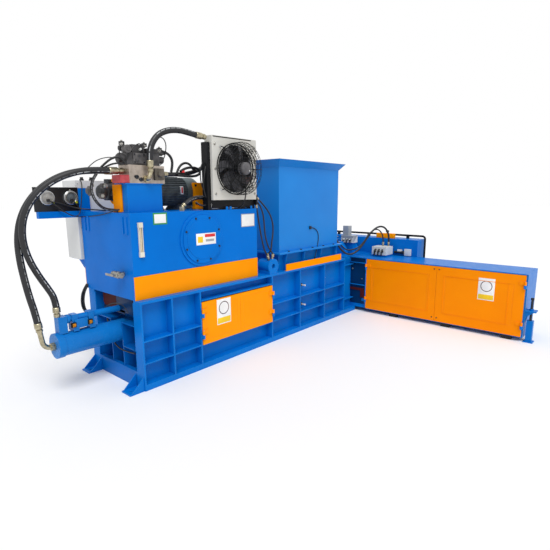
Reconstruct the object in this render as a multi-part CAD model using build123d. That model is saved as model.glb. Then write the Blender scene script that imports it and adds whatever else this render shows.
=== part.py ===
from build123d import *
from math import atan2, cos, degrees, pi, radians, sin, tan
import os

# Side-eject recycling baler, in millimetres.
# Layout axes: X runs from the rear end plane towards the bale chamber, Y from the main ram's
# centre line away from the side with the access leaves, Z up from the floor.
# The exported origin is the centre of the four floor anchors.

# Main body
body_length = 3506
half_width = 490
body_height = 870
rib_depth = 100
wall = 16
rib = 16
rail_height = 27
skirt_height = 60
access_post = 1818
front_bays = body_length - rib - access_post
post_stations = [
    340, 690, access_post, access_post + front_bays * 283 / 836,
    access_post + front_bays * 15 / 22, body_length - rib,
]
rib_levels = [261, body_height - 392]
channel_half = half_width - rib_depth - wall
floor_top = 110
floor_plate = 20
deck = 15
deck_start = 300
column_reach = 128

# Bale chamber and its end wall
ejector_front = body_length + 303
door_sheet = 4
door_depth = 24
door_gap = 2
chamber_start = ejector_front + door_depth + door_gap + wall
chamber_end = ejector_front + 572
end_wall_depth = 295
end_wall_height = body_height + 252
end_wall_near = -1244
end_wall_far = 490
end_plate = 30
roof_plate = 20

# Side-push (ejector) box
ejector_near_end = -2877
ejector_top = body_height - 8
ejector_bottom = 50
door_row_start = -683
side_plate = 12

# Feet and floor anchors
foot_size = 150
foot_plate = 15
foot_y = 401
foot_hole_out = 102
anchor_hole_r = 13
foot_overhang = 153
anchor_span_x = chamber_end + end_wall_depth + 2 * foot_hole_out
origin_x = anchor_span_x / 2 - foot_hole_out

# Hydraulic tank
tank_length = 1640
tank_near = -413
tank_far = 528
tank_top = body_height + 801
tank_sheet = 8
band_top = body_height + 222
band_sheet = 6
manhole_x = 810
manhole_z = tank_top - 292
manhole_r = 250
manhole_hole_r = 205

# Feed opening and hopper
feed_start = tank_length + 460
feed_end = body_length - 156
feed_half = 345
hopper_start = feed_start - 41
hopper_end = feed_end + 47
hopper_half = 403
hopper_foot = body_height + 235
hopper_shoulder = hopper_foot + 1061
hopper_top = hopper_shoulder + 89
hopper_flare = 75
hopper_sheet = 8
flange_out = 60
flange_thick = 12
curb_wall = 12
curb_half = 390

# Main cylinder and ram
ram_z = body_height - 370
barrel_r = 108
bore_r = 90
barrel_rear = -583
barrel_front = 1500
cap_length = 60
gland_length = 60
rod_r = 62.5
running_gap = 0.05
seat_gap = 0.3
bulkhead_x = 170
bulkhead = 40
bulkhead_top = ram_z + 160
barrel_flange_r = 160
barrel_flange = 35
ram_rear = 340
ram_face = feed_start - 70
platen = 80
ram_side_gap = 5
ram_top = body_height - 22
ram_sheet = 20

# Side pusher and its cylinder
pusher_depth = 420
pusher_gap = 5
side_cylinder_z = ram_z - 20
side_barrel_r = 70
side_bore_r = 57
side_rod_r = 40
side_barrel_end = -2480
side_barrel_head = -1180
side_bulkhead_y = -1280
side_bulkhead = 30

# Hoses
main_hose_r = 29
medium_hose_r = 22
small_hose_r = 14
ferrule_extra = 4

# Power pack
motor_axis_y = 110
motor_axis_z = tank_top + 195
motor_r = 138
second_motor_r = 108
fin_reach = 17
motor_start = 300
motor_end = 1131
second_motor_y = 400
second_motor_end = tank_length - 280
second_motor_start = second_motor_end - 800
bell_length = 140
pump_length = 165
stand_x0 = 90
stand_x1 = 465
stand_near = -246
stand_far = -52
stand_top = tank_top + 259
stand_lid = 10
block_x0 = 122
block_x1 = 505
block_near = -250
block_depth = 190
block_height = 167

# Oil cooler
cooler_side = 661
cooler_x1 = tank_length + 4
cooler_x0 = cooler_x1 - cooler_side
cooler_z0 = tank_top + 104
cooler_z1 = cooler_z0 + cooler_side
cooler_near = -412
cooler_depth = 115
fan_x = (cooler_x0 + cooler_x1) / 2
fan_z = (cooler_z0 + cooler_z1) / 2
guard_r = 275
guard_reach = 98
blade_tip_r = 246
fan_hub_r = 78
fan_wheel_depth = 40
fan_motor_r = 62

# Switch cabinet
cabinet_x0 = -26
cabinet_x1 = 574
cabinet_back = 540
cabinet_front = 832
cabinet_z0 = tank_top - 500
cabinet_z1 = cabinet_z0 + 811
cabinet_sheet = 4

# Hinges
knuckle_r = 14
hinge_pin_r = 8
knuckle_length = 45
strap = 8
strap_length = 70

parts = {}
bend_notes = []


def slab(x, y, z):
    """Rectangular plate or bar between (low, high) pairs on each axis."""
    size = [high - low for low, high in (x, y, z)]
    middle = [(high + low) / 2 for low, high in (x, y, z)]
    return Pos(*middle) * Box(*size)


def outline(points):
    return make_face(Polyline(*points, close=True))


def plate_xz(points, y0, y1):
    """Flat plate whose outline is given as (x, z) points, from y0 to y1."""
    return Pos(0, y1, 0) * (Plane.XZ * extrude(outline(points), y1 - y0))


def plate_yz(points, x0, x1):
    """Flat plate whose outline is given as (y, z) points, from x0 to x1."""
    return Pos(x0, 0, 0) * (Plane.YZ * extrude(outline(points), x1 - x0))


def plate_xy(points, z0, z1):
    """Flat plate whose outline is given as (x, y) points, from z0 to z1."""
    return Pos(0, 0, z0) * extrude(outline(points), z1 - z0)


def bar(radius, start, direction, length):
    """Round bar from a start point along a direction."""
    base = Cylinder(radius, length, align=(Align.CENTER, Align.CENTER, Align.MIN))
    return Plane(origin=start, z_dir=direction) * base


def turned(profile, start, direction):
    """Turned piece from (radius, height) points, its axis from start along direction."""
    face = make_face(Polyline(*profile, close=True))
    solid = revolve(Plane.XZ * face, Axis.Z)
    return Plane(origin=start, z_dir=direction) * solid


def hex_nut(across, start, direction, length):
    """Hexagonal nut body from a start point along a direction."""
    sketch = RegularPolygon(across / 2, 6, major_radius=False)
    return Plane(origin=start, z_dir=direction) * extrude(sketch, length)


def fuse(solids):
    """One solid out of several that touch."""
    first, *rest = solids
    joined = first
    for solid in rest:
        joined = joined + solid
    return joined


def group(solids):
    """Several separate solids kept as one node."""
    return Compound(children=[s for shape in solids for s in shape.solids()])


def hose_end(tip, direction, hose_r, length):
    """Crimped ferrule and swivel nut. The hose leaves at tip, along direction."""
    ferrule_r = hose_r + ferrule_extra
    nut_r = hose_r * 0.98
    back = -length
    profile = [
        (0, back), (nut_r * 0.8, back), (nut_r * 0.8, back + 0.1 * length),
        (nut_r, back + 0.12 * length), (nut_r, back + 0.34 * length),
        (nut_r * 0.72, back + 0.38 * length), (nut_r * 0.72, back + 0.44 * length),
        (ferrule_r, back + 0.48 * length), (ferrule_r, -0.05 * length),
        (ferrule_r - 3, 0), (0, 0),
    ]
    return turned(profile, tip, direction)


def hose(name, radius, points):
    """Hose of straight runs joined by tangent arcs. It notes its tightest bend and its length."""
    corners = []
    for before, here, after in zip(points, points[1:], points[2:]):
        back = Vector(*before) - Vector(*here)
        ahead = Vector(*after) - Vector(*here)
        half_turn = radians(180 - back.get_angle(ahead)) / 2
        corners.append(0.45 * min(back.length, ahead.length) / tan(half_turn))
    path = FilletPolyline(*points, radius=corners)
    start = Plane(origin=path @ 0, z_dir=path % 0)
    tube = sweep(start * Circle(radius), path=path)
    bend_notes.append((name, round(min(corners)), round(path.length), round(tube.volume)))
    bend_notes.append((name, "section by length", round(pi * radius**2 * path.length)))
    parts[name] = tube


# Side walls

def wall_ribs(side, stations, levels, x_end):
    """Posts, horizontal ribs, skirt and top rail of one side wall. side is -1 or 1 in Y."""
    inner = side * (channel_half + wall)
    outer = side * half_width
    y_span = (min(inner, outer), max(inner, outer))
    full_span = (min(side * channel_half, outer), max(side * channel_half, outer))
    top = body_height - rail_height
    pieces = [
        slab((0, body_length), full_span, (top, body_height)),
        slab((0, x_end), full_span, (0, skirt_height)),
    ]
    column = (min(side * (half_width - column_reach), outer), max(side * (half_width - column_reach), outer))
    pieces.append(slab((0, rib), column, (0, top)))
    pieces += [slab((x, x + rib), y_span, (skirt_height, top)) for x in stations]
    pieces += [slab((start, end), y_span, (z, z + 12)) for start, end, z in levels]
    return pieces


access_x0 = post_stations[1] + rib
access_x1 = post_stations[2]
access_z0 = 270
access_z1 = body_height - 139
opening_margin = 50
recess_rib_depth = 60
recess_levels = [201, body_height - 128]

near_levels = [(rib, access_x0 - rib, z) for z in rib_levels]
near_levels += [(access_x0 - rib, access_x1, access_z0 - 14), (access_x0 - rib, access_x1, access_z1 + 10)]
near_levels += [(access_x1, post_stations[-1], z) for z in rib_levels]
near_plate = slab((rib, chamber_start), (-channel_half - wall, -channel_half), (0, body_height - roof_plate))
near_plate -= slab(
    (access_x0 + opening_margin, access_x1 - opening_margin),
    (-half_width, 0),
    (access_z0 + opening_margin, access_z1 - opening_margin),
)
near_solids = wall_ribs(-1, post_stations, near_levels, chamber_start - wall)
near_solids += [
    slab(
        (body_length, ejector_front + door_depth + door_gap),
        (-channel_half - wall - recess_rib_depth, -channel_half - wall),
        (z, z + 12),
    )
    for z in recess_levels
]
parts["near_side_wall"] = fuse([near_plate] + near_solids)

far_plate = slab((rib, chamber_start), (channel_half, channel_half + wall), (0, body_height - roof_plate))
far_levels = [(rib, chamber_start - rib, z) for z in rib_levels]
far_solids = wall_ribs(1, post_stations + [chamber_start - rib], far_levels, chamber_end)
far_solids.append(slab(
    (body_length, chamber_start), (channel_half, half_width),
    (body_height - rail_height - 20, body_height - roof_plate),
))
parts["far_side_wall"] = fuse([far_plate] + far_solids)

# Floor

cross_member_half = 30
cross_stations = post_stations + [ejector_front + 91, chamber_end - 61]
channel_span = (-channel_half, channel_half)
floor_solids = [slab((rib, chamber_end), channel_span, (floor_top - floor_plate, floor_top))]
floor_solids += [
    slab((x - cross_member_half, x + cross_member_half), channel_span, (0, floor_top - floor_plate))
    for x in cross_stations
]
parts["floor_frame"] = fuse(floor_solids)

# Rear end frame: end beam, shelved pockets and the thick plate that holds the main cylinder

end_beam_height = 163
shelf_levels = [ram_z - 145, ram_z + 98]
gusset_half = 112
gusset = 12
column_inner = half_width - column_reach
rear_solids = [slab((0, rib), (-column_inner, column_inner), (0, end_beam_height))]
mount_plate = slab(
    (bulkhead_x, bulkhead_x + bulkhead), (-channel_half, channel_half), (floor_top, bulkhead_top)
)
mount_plate -= bar(barrel_r + seat_gap, (bulkhead_x - 1, 0, ram_z), (1, 0, 0), bulkhead + 2)
rear_solids.append(mount_plate)
for side in (-1, 1):
    inner = side * gusset_half
    rear_solids.append(
        slab((rib, bulkhead_x), sorted((inner, inner - side * gusset)), (floor_top, shelf_levels[1] + gusset))
        - bar(barrel_r + 1, (0, 0, ram_z), (1, 0, 0), bulkhead_x + 1)
    )
    for z in shelf_levels:
        span = sorted((inner, side * channel_half))
        rear_solids.append(slab((rib, bulkhead_x), span, (z, z + gusset)))
rear_solids.append(slab((rib, rib + 30), (-column_inner, column_inner), (floor_top, end_beam_height)))
parts["rear_end_frame"] = fuse(rear_solids)

pipe_r = 30
pipe_z = ram_z + 225
primer_top = body_height - 125
primer_foot = body_height - 160
primer = plate_yz(
    [(-310, body_height), (-310, primer_top), (-285, primer_foot),
     (285, primer_foot), (310, primer_top), (310, body_height)],
    60, 76,
)
primer -= bar(pipe_r + 6, (50, 0, pipe_z), (1, 0, 0), 40)
parts["primer_cross_member"] = primer

# Anchor feet, two at each end

def anchor_foot(face_x, outward, side):
    """Floor plate with a hole and two sloped gussets, standing out of an end face."""
    middle = side * foot_y
    y0 = middle - side * 75
    y1 = middle + side * 75
    tip = face_x + outward * foot_overhang
    xs = sorted((face_x, tip))
    base = slab(xs, sorted((y0, y1)), (0, foot_plate))
    hole_x = face_x + outward * foot_hole_out
    base -= Pos(hole_x, middle, foot_plate / 2) * Cylinder(anchor_hole_r, foot_plate + 2)
    slope = [
        (face_x, foot_plate), (tip - outward * 20, foot_plate), (face_x, foot_plate + 125),
    ]
    walls = [plate_xz(slope, y, y + 10) for y in (min(y0, y1), max(y0, y1) - 10)]
    return fuse([base] + walls)


parts["anchor_feet"] = group(
    [anchor_foot(0, -1, s) for s in (-1, 1)]
    + [anchor_foot(chamber_end + end_wall_depth, 1, s) for s in (-1, 1)]
)

# Top deck with the feed opening, and the shear knife at its front edge

deck_plate = slab((deck_start, body_length), (-channel_half, channel_half), (body_height - deck, body_height))
deck_plate -= slab((feed_start, feed_end), (-feed_half, feed_half), (0, 2 * body_height))
parts["top_deck"] = deck_plate

# Hopper and the curb that carries it

curb_top = hopper_foot - flange_thick


def frame_ring(x, y, z, thickness):
    """Four-sided ring: the outer box of x, y and z spans, less its inside."""
    inner_x = (x[0] + thickness, x[1] - thickness)
    inner_y = (y[0] + thickness, y[1] - thickness)
    return slab(x, y, z) - slab(inner_x, inner_y, (z[0] - 1, z[1] + 1))


curb = frame_ring((hopper_start, hopper_end), (-curb_half, curb_half), (body_height, curb_top), curb_wall)
curb_flange = slab(
    (hopper_start - flange_out, hopper_end + flange_out), (-curb_half - 73, curb_half + 73),
    (curb_top - 12, curb_top),
)
curb_flange -= slab(
    (hopper_start + curb_wall, hopper_end - curb_wall), (-curb_half + curb_wall, curb_half - curb_wall),
    (0, 2 * curb_top),
)
curb_solids = [curb, curb_flange]
hopper_length = hopper_end - hopper_start
brace_stations = [
    hopper_start + 90, hopper_start + hopper_length * 235 / 669,
    hopper_start + hopper_length * 430 / 669, hopper_end - 90,
]
for x in brace_stations:
    for side in (-1, 1):
        edge = side * curb_half
        brace = [
            (edge, body_height), (edge + side * 30, body_height),
            (edge + side * 68, curb_top - 12), (edge, curb_top - 12),
        ]
        curb_solids.append(plate_yz(brace, x, x + 10))
parts["hopper_curb"] = fuse(curb_solids)


def hopper_skin(inset):
    """Straight throat and flared rim, moved inwards by inset."""
    length = hopper_end - hopper_start - 2 * inset
    width = 2 * (hopper_half - inset)
    centre = (hopper_start + hopper_end) / 2
    middle = (hopper_foot + hopper_shoulder) / 2
    straight = Pos(centre, 0, middle) * Box(length, width, hopper_shoulder - hopper_foot)
    low = Pos(centre, 0, hopper_shoulder) * Rectangle(length, width)
    high = Pos(centre, 0, hopper_top) * Rectangle(length + 2 * hopper_flare, width + 2 * hopper_flare)
    return straight + loft([low, high])


hopper_shell = hopper_skin(0) - hopper_skin(hopper_sheet)
throat_x = (hopper_start + hopper_sheet, hopper_end - hopper_sheet)
throat_y = (-hopper_half + hopper_sheet, hopper_half - hopper_sheet)
hopper_shell -= slab(throat_x, throat_y, (hopper_foot - 1, hopper_foot + 1))
foot_ring = slab(
    (hopper_start - flange_out, hopper_end + flange_out), (-hopper_half - flange_out, hopper_half + flange_out),
    (hopper_foot - flange_thick, hopper_foot),
)
foot_ring -= slab(throat_x, throat_y, (0, 2 * hopper_foot))
parts["hopper"] = fuse([hopper_shell, foot_ring])

# Orange trim: the sill in front of the hopper curb and the bands along the tank

sill_x0 = feed_start - 3
sill_x1 = feed_end + 34
sill_top = body_height + 87
sill = plate_yz(
    [(-half_width, body_height), (-half_width + 22, body_height), (-half_width + 22, body_height + 8),
     (-half_width + 8, body_height + 8), (-half_width + 8, sill_top), (-half_width, sill_top)],
    sill_x0, sill_x1,
)
near_band = slab((0, tank_length), (tank_near - band_sheet, tank_near), (body_height, band_top))
far_band = slab((0, tank_length), (tank_far, tank_far + band_sheet), (body_height, band_top))
parts["orange_trim"] = group([sill, near_band, far_band])

# Chamber roof: plate between the walls with stiffening beams across it

roof_near = -channel_half - wall
beam_stations = [body_length + 54, ejector_front + 71, chamber_end - 151]
beam_width = 90
beam_height = 200
roof_z = (body_height - roof_plate, body_height)
roof_solids = [slab((body_length, chamber_end), (roof_near, half_width), roof_z)]
for x in beam_stations:
    beam = [(-250, body_height), (half_width, body_height), (half_width, body_height + beam_height),
            (-150, body_height + beam_height), (-250, body_height + 60)]
    roof_solids.append(plate_yz(beam, x, x + beam_width))
parts["chamber_roof"] = fuse(roof_solids)

# End wall: thick face plate with tie grooves, stiffening ribs behind it

end_x0 = chamber_end
end_x1 = chamber_end + end_wall_depth
end_ribs = [-880, -560, -channel_half - wall, -130, 130, channel_half]
tie_first = 235
tie_pitch = (body_height - 155 - tie_first) / 3
tie_levels = [tie_first + tie_pitch * k for k in range(4)]
tie_width = 24
tie_depth = 14
end_face = slab((end_x0, end_x0 + end_plate), (end_wall_near, end_wall_far), (0, end_wall_height))
for z in tie_levels:
    end_face -= slab((end_x0 - 1, end_x0 + tie_depth), (-channel_half, end_wall_far + 1), (z, z + tie_width))
end_solids = [
    end_face,
    slab((end_x0, end_x1), (end_wall_near, end_wall_far), (end_wall_height - 16, end_wall_height)),
    slab((end_x0, end_x1), (end_wall_near, end_wall_near + 16), (0, end_wall_height)),
    slab((end_x0, end_x1), (end_wall_far - 16, end_wall_far), (0, end_wall_height)),
    slab((end_x1 - 16, end_x1), (end_wall_near, end_wall_far), (0, end_beam_height)),
    slab((end_x1 - 16, end_x1), (end_wall_near, end_wall_far), (end_wall_height - 120, end_wall_height)),
    slab((end_x0, end_x1), (end_wall_near, end_wall_far), (ram_z - 8, ram_z + 8)),
]
end_solids += [slab((end_x0, end_x1), (y, y + 16), (0, end_wall_height)) for y in end_ribs]
parts["end_wall"] = fuse(end_solids)

# Side-push box: welded frame and roof

frame_face = ejector_front + door_depth + door_gap
rail = 60
mid_post_y = -1730
door_row_end = ejector_near_end + strap * 2
sheet_under = ejector_top - side_plate
box_z = (ejector_bottom, sheet_under)
frame_solids = [
    slab((frame_face, chamber_start), (door_row_start, -channel_half - wall), (skirt_height, sheet_under)),
    slab((frame_face, chamber_end), (ejector_near_end, ejector_near_end + side_plate), box_z),
    slab((frame_face, frame_face + rail), (ejector_near_end, door_row_start), (ejector_bottom, floor_top)),
    slab((frame_face, chamber_start), (ejector_near_end, door_row_start), (sheet_under - rail, sheet_under)),
    slab((frame_face, frame_face + rail), (mid_post_y - 30, mid_post_y + 30), box_z),
    slab((frame_face, frame_face + rail), (ejector_near_end, ejector_near_end + 40), box_z),
    slab((frame_face, chamber_end), (ejector_near_end, -channel_half), (floor_top - floor_plate, floor_top))
    - slab((0, chamber_start), (-channel_half - wall, 0), (0, body_height)),
    slab((chamber_end - rail, chamber_end), (ejector_near_end, end_wall_near), (ejector_bottom, floor_top)),
    slab((chamber_end, chamber_end + side_plate), (ejector_near_end, end_wall_near), box_z),
]
mount_y = (side_bulkhead_y, side_bulkhead_y + side_bulkhead)
side_mount = slab((frame_face + rail, chamber_end), mount_y, (floor_top, sheet_under))
ejector_x = (chamber_start + chamber_end) / 2
mount_hole_at = (ejector_x, side_bulkhead_y - 1, side_cylinder_z)
side_mount -= bar(side_barrel_r + seat_gap, mount_hole_at, (0, 1, 0), side_bulkhead + 2)
parts["ejector_frame"] = fuse(frame_solids + [side_mount])

sheet_z = (sheet_under, ejector_top)
roof_sheet = slab((ejector_front, chamber_end), (ejector_near_end, -channel_half - wall), sheet_z)
roof_sheet += slab((chamber_end, chamber_end + side_plate), (ejector_near_end, end_wall_near), sheet_z)
parts["ejector_roof"] = roof_sheet

# Black pads under the side-push box

pad_stations = [-1143, -1920, -2690]
pads = []
for y in pad_stations:
    pads.append(slab((frame_face + 2, frame_face + 58), (y - 60, y + 60), (0, ejector_bottom)))
    if y < end_wall_near:
        pads.append(slab((chamber_end - 58, chamber_end - 2), (y - 60, y + 60), (0, ejector_bottom)))
parts["floor_pads"] = group(pads)

# Hinged doors and leaves

def hinge_knuckles(axis_xy, z_low, face_dir, door_dir):
    """Lift-off hinge. Returns the fixed knuckle with its pin, and the knuckle on the door.
    face_dir points out of the door's face, door_dir along the door away from the hinge."""
    x, y = axis_xy
    fx, fy = face_dir
    dx, dy = door_dir
    fixed_top = z_low + knuckle_length
    door_low = fixed_top + seat_gap
    fixed = bar(knuckle_r, (x, y, z_low), (0, 0, 1), knuckle_length)
    fixed += bar(hinge_pin_r, (x, y, fixed_top), (0, 0, 1), knuckle_length)
    door = bar(knuckle_r, (x, y, door_low), (0, 0, 1), knuckle_length)
    door -= bar(hinge_pin_r + running_gap, (x, y, door_low - 1), (0, 0, 1), knuckle_length + 2)
    a = (x - fx * knuckle_r, y - fy * knuckle_r)
    b = (x - fx * (knuckle_r - strap) + dx * strap_length, y - fy * (knuckle_r - strap) + dy * strap_length)
    leaf = slab(sorted((a[0], b[0])), sorted((a[1], b[1])), (door_low, door_low + knuckle_length))
    leaf -= bar(hinge_pin_r + running_gap, (x, y, door_low - 1), (0, 0, 1), knuckle_length + 2)
    return fixed, door + leaf


def door_pan(x, y, z, face_axis, face_side, emboss):
    """Folded sheet door: a front sheet with turned-back edges and a pressed inner rectangle."""
    pan = slab(x, y, z)
    spans = [list(x), list(y), list(z)]
    inner = [[low + door_sheet, high - door_sheet] for low, high in spans]
    if face_side < 0:
        inner[face_axis][1] = spans[face_axis][1] + 1
    else:
        inner[face_axis][0] = spans[face_axis][0] - 1
    pan -= slab(*inner)
    border = [[low + emboss, high - emboss] for low, high in spans]
    outer_plane = spans[face_axis][0] if face_side < 0 else spans[face_axis][1]
    press = 1.5
    line = 10
    border[face_axis] = sorted((outer_plane - face_side * press, outer_plane + face_side))
    ring = slab(*border)
    border_in = [[low + line, high - line] for low, high in border]
    border_in[face_axis] = border[face_axis]
    return pan - (ring - slab(*border_in))


leaf_gap = 3
leaf_face = -half_width - 10
leaf_seam = (access_x0 + access_x1) / 2
leaf_hinge_inset = (access_z1 - access_z0) * 70 / 461
leaf_hinge_levels = [access_z0 + leaf_hinge_inset, access_z1 - leaf_hinge_inset - 2 * knuckle_length]
leaf_y = (leaf_face, leaf_face + door_depth)
fixed_leaf_knuckles = []
for name, hinge_x, direction in (("left_access_leaf", access_x0, 1), ("right_access_leaf", access_x1, -1)):
    xs = sorted((hinge_x + direction * leaf_gap, leaf_seam - direction * leaf_gap / 2))
    leaf = door_pan(xs, leaf_y, (access_z0, access_z1), 1, -1, 45)
    axis_xy = (hinge_x + direction * 2, leaf_face - knuckle_r)
    for z in leaf_hinge_levels:
        fixed, moving = hinge_knuckles(axis_xy, z, (0, -1), (direction, 0))
        tab = slab(
            sorted((hinge_x - direction * 14, axis_xy[0] - direction * 2)), (leaf_face - strap, -half_width),
            (z, z + knuckle_length),
        )
        fixed_leaf_knuckles.append(fixed + tab)
        leaf += moving
    parts[name] = leaf

row_length = door_row_start - door_row_end
seam_y = (door_row_start + door_row_end) / 2
box_hinge_levels = [165, ejector_top - 182]
box_door_z = (ejector_bottom + 15, ejector_top - side_plate - 5)
fixed_box_knuckles = []
for name, hinge_y, direction in (("inner_box_door", door_row_start, -1), ("outer_box_door", door_row_end, 1)):
    ys = sorted((hinge_y + direction * leaf_gap, seam_y - direction * leaf_gap / 2))
    door = door_pan((ejector_front, ejector_front + door_depth), ys, box_door_z, 0, -1, 120)
    axis_xy = (ejector_front - knuckle_r, hinge_y + direction * 2)
    for z in box_hinge_levels:
        fixed, moving = hinge_knuckles(axis_xy, z, (-1, 0), (0, direction))
        tab = slab(
            (ejector_front - strap, frame_face), sorted((hinge_y - direction * 14, axis_xy[1] - direction * 2)),
            (z, z + knuckle_length),
        )
        fixed_box_knuckles.append(fixed + tab)
        door += moving
    parts[name] = door

# Outlet door: it lies over the outlet between the last post and the end wall, ribs outwards

door_seat = half_width + seat_gap
outlet_x0 = chamber_start - wall + 1
outlet_x1 = chamber_end + 15
outlet_z0 = skirt_height + 6
outlet_z1 = body_height - 4
outlet_plate = 20
outlet_rib_x1 = chamber_end - 51
outlet_rib_top = half_width + 90
outlet_solids = [slab((outlet_x0, outlet_x1), (door_seat, half_width + outlet_plate), (outlet_z0, outlet_z1))]
outlet_rib_y = (half_width + outlet_plate, outlet_rib_top)
for x in (outlet_x0, outlet_x0 + 235, outlet_rib_x1 - 16):
    outlet_solids.append(slab((x, x + 16), outlet_rib_y, (outlet_z0, outlet_z1)))
for z in (outlet_z0, ram_z - 170, ram_z + 90, outlet_z1 - 16):
    outlet_solids.append(slab((outlet_x0, outlet_rib_x1), outlet_rib_y, (z, z + 16)))
outlet_axis = (chamber_end + 45, half_width + 30)
outlet_pin_r = 14
outlet_knuckle_r = 24
outlet_knuckle_length = 70
outlet_fixed = []
for z in (ram_z - 270, ram_z + 120):
    top = z + outlet_knuckle_length
    fixed = bar(outlet_knuckle_r, (*outlet_axis, z), (0, 0, 1), outlet_knuckle_length)
    fixed += bar(outlet_pin_r, (*outlet_axis, top), (0, 0, 1), outlet_knuckle_length)
    fixed += slab((outlet_axis[0], outlet_axis[0] + 80), (half_width, half_width + 16), (z, top))
    fixed += slab((outlet_axis[0], outlet_axis[0] + outlet_knuckle_r), (half_width, outlet_axis[1]), (z, top))
    outlet_fixed.append(fixed)
    arm_low = top + seat_gap
    arm = bar(outlet_knuckle_r, (*outlet_axis, arm_low), (0, 0, 1), outlet_knuckle_length)
    arm += slab(
        (outlet_rib_x1 - 10, outlet_axis[0]), (outlet_axis[1] + 4, outlet_axis[1] + outlet_knuckle_r),
        (arm_low, arm_low + outlet_knuckle_length),
    )
    arm -= bar(outlet_pin_r + running_gap, (*outlet_axis, arm_low - 1), (0, 0, 1), outlet_knuckle_length + 2)
    outlet_solids.append(arm)
parts["outlet_door"] = fuse(outlet_solids)
parts["door_hinges"] = group(fixed_leaf_knuckles + fixed_box_knuckles + outlet_fixed)

# Main cylinder, its rod and the ram

barrel = bar(barrel_r, (barrel_rear, 0, ram_z), (1, 0, 0), barrel_front - barrel_rear)
barrel += bar(barrel_r + 8, (barrel_rear, 0, ram_z), (1, 0, 0), cap_length)
barrel += bar(barrel_r + 14, (barrel_front - gland_length, 0, ram_z), (1, 0, 0), gland_length)
barrel += bar(barrel_flange_r, (bulkhead_x + bulkhead, 0, ram_z), (1, 0, 0), barrel_flange)
bore_length = barrel_front - barrel_rear - cap_length - gland_length
barrel -= bar(bore_r, (barrel_rear + cap_length, 0, ram_z), (1, 0, 0), bore_length)
barrel -= bar(rod_r + running_gap, (barrel_front - gland_length - 1, 0, ram_z), (1, 0, 0), gland_length + 2)
parts["main_cylinder"] = barrel

ram_back = ram_face - platen
piston_start = barrel_rear + cap_length + 10
rod_solids = [
    bar(rod_r, (piston_start, 0, ram_z), (1, 0, 0), ram_back - piston_start),
    bar(bore_r - running_gap, (piston_start, 0, ram_z), (1, 0, 0), 70),
    bar(110, (ram_back - 45, 0, ram_z), (1, 0, 0), 45),
]
parts["main_rod"] = fuse(rod_solids)

ram_half = channel_half - ram_side_gap
ram_bottom = floor_top + seat_gap
ram_solids = [slab((ram_back, ram_face), (-ram_half, ram_half), (ram_bottom, ram_top))]
for z in tie_levels:
    ram_solids[0] -= slab((ram_face - 30, ram_face + 1), (-ram_half - 1, ram_half + 1), (z, z + tie_width))
ram_solids.append(slab((ram_rear, ram_back), (-ram_half, ram_half), (ram_top - ram_sheet, ram_top)))
for side in (-1, 1):
    outer = side * ram_half
    skirt_y = sorted((outer, outer - side * ram_sheet))
    ram_solids.append(slab((ram_rear, ram_back), skirt_y, (ram_bottom, ram_top)))
    shoe_y = sorted((outer, outer - side * 70))
    ram_solids.append(slab((ram_rear, ram_back), shoe_y, (ram_bottom, ram_bottom + ram_sheet)))
    shear = [
        (ram_back, ram_bottom + 20), (ram_back, ram_top - 20),
        (ram_back - 180, ram_top - 20), (ram_back - 60, ram_bottom + 20),
    ]
    ram_solids.append(plate_xz(shear, side * 200 - 8, side * 200 + 8))
parts["ram_head"] = fuse(ram_solids)

# Pipe along the main cylinder, with its end block and saddles

pipe_start = barrel_rear + 112
pipe_end = barrel_front - 120
pipe_block_top = pipe_z + 37
barrel_top = ram_z + barrel_r
block_end = slab((pipe_start - 77, pipe_start), (-45, 45), (barrel_top - 8, pipe_block_top))
pipe_solids = [
    block_end - bar(barrel_r + 8 + seat_gap, (barrel_rear - 17, 0, ram_z), (1, 0, 0), 200),
    bar(pipe_r, (pipe_start, 0, pipe_z), (1, 0, 0), pipe_end - pipe_start + pipe_r),
    bar(pipe_r, (pipe_end, 0, barrel_top - 2), (0, 0, 1), pipe_z - barrel_top + 2),
    turned([(0, -12), (42, -12), (42, 12), (0, 12)], (pipe_start + 16, 0, pipe_z), (1, 0, 0)),
]
pipe_run = fuse(pipe_solids) - bar(barrel_r + seat_gap, (pipe_end - 60, 0, ram_z), (1, 0, 0), 120)
parts["cylinder_pipe"] = pipe_run

clamp_stations = [pipe_start + 74, pipe_start + 226]
clamp_solids = []
for x in clamp_stations:
    saddle = plate_yz(
        [(-55, barrel_top + seat_gap), (55, barrel_top + seat_gap), (55, barrel_top + 52),
         (38, barrel_top + 64), (38, pipe_z + 38), (-38, pipe_z + 38),
         (-38, barrel_top + 64), (-55, barrel_top + 52)],
        x - 26, x + 26,
    )
    saddle -= bar(pipe_r + seat_gap, (x - 40, 0, pipe_z), (1, 0, 0), 80)
    clamp_solids.append(saddle)
parts["pipe_clamps"] = group(clamp_solids)

# Side-push cylinder, rod and pusher

pusher_face = -channel_half
pusher_x = (chamber_start + pusher_gap, chamber_end - pusher_gap)
pusher_y = (pusher_face - pusher_depth, pusher_face - 40)
pusher_z = (floor_top + seat_gap, ram_top)
pusher_solids = [slab(pusher_x, (pusher_face - 40, pusher_face), pusher_z)]
for x in (pusher_x[0], pusher_x[1] - ram_sheet):
    pusher_solids.append(slab((x, x + ram_sheet), pusher_y, pusher_z))
for z in (pusher_z[0], ram_top - ram_sheet):
    pusher_solids.append(slab(pusher_x, pusher_y, (z, z + ram_sheet)))
parts["side_pusher"] = fuse(pusher_solids)

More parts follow.
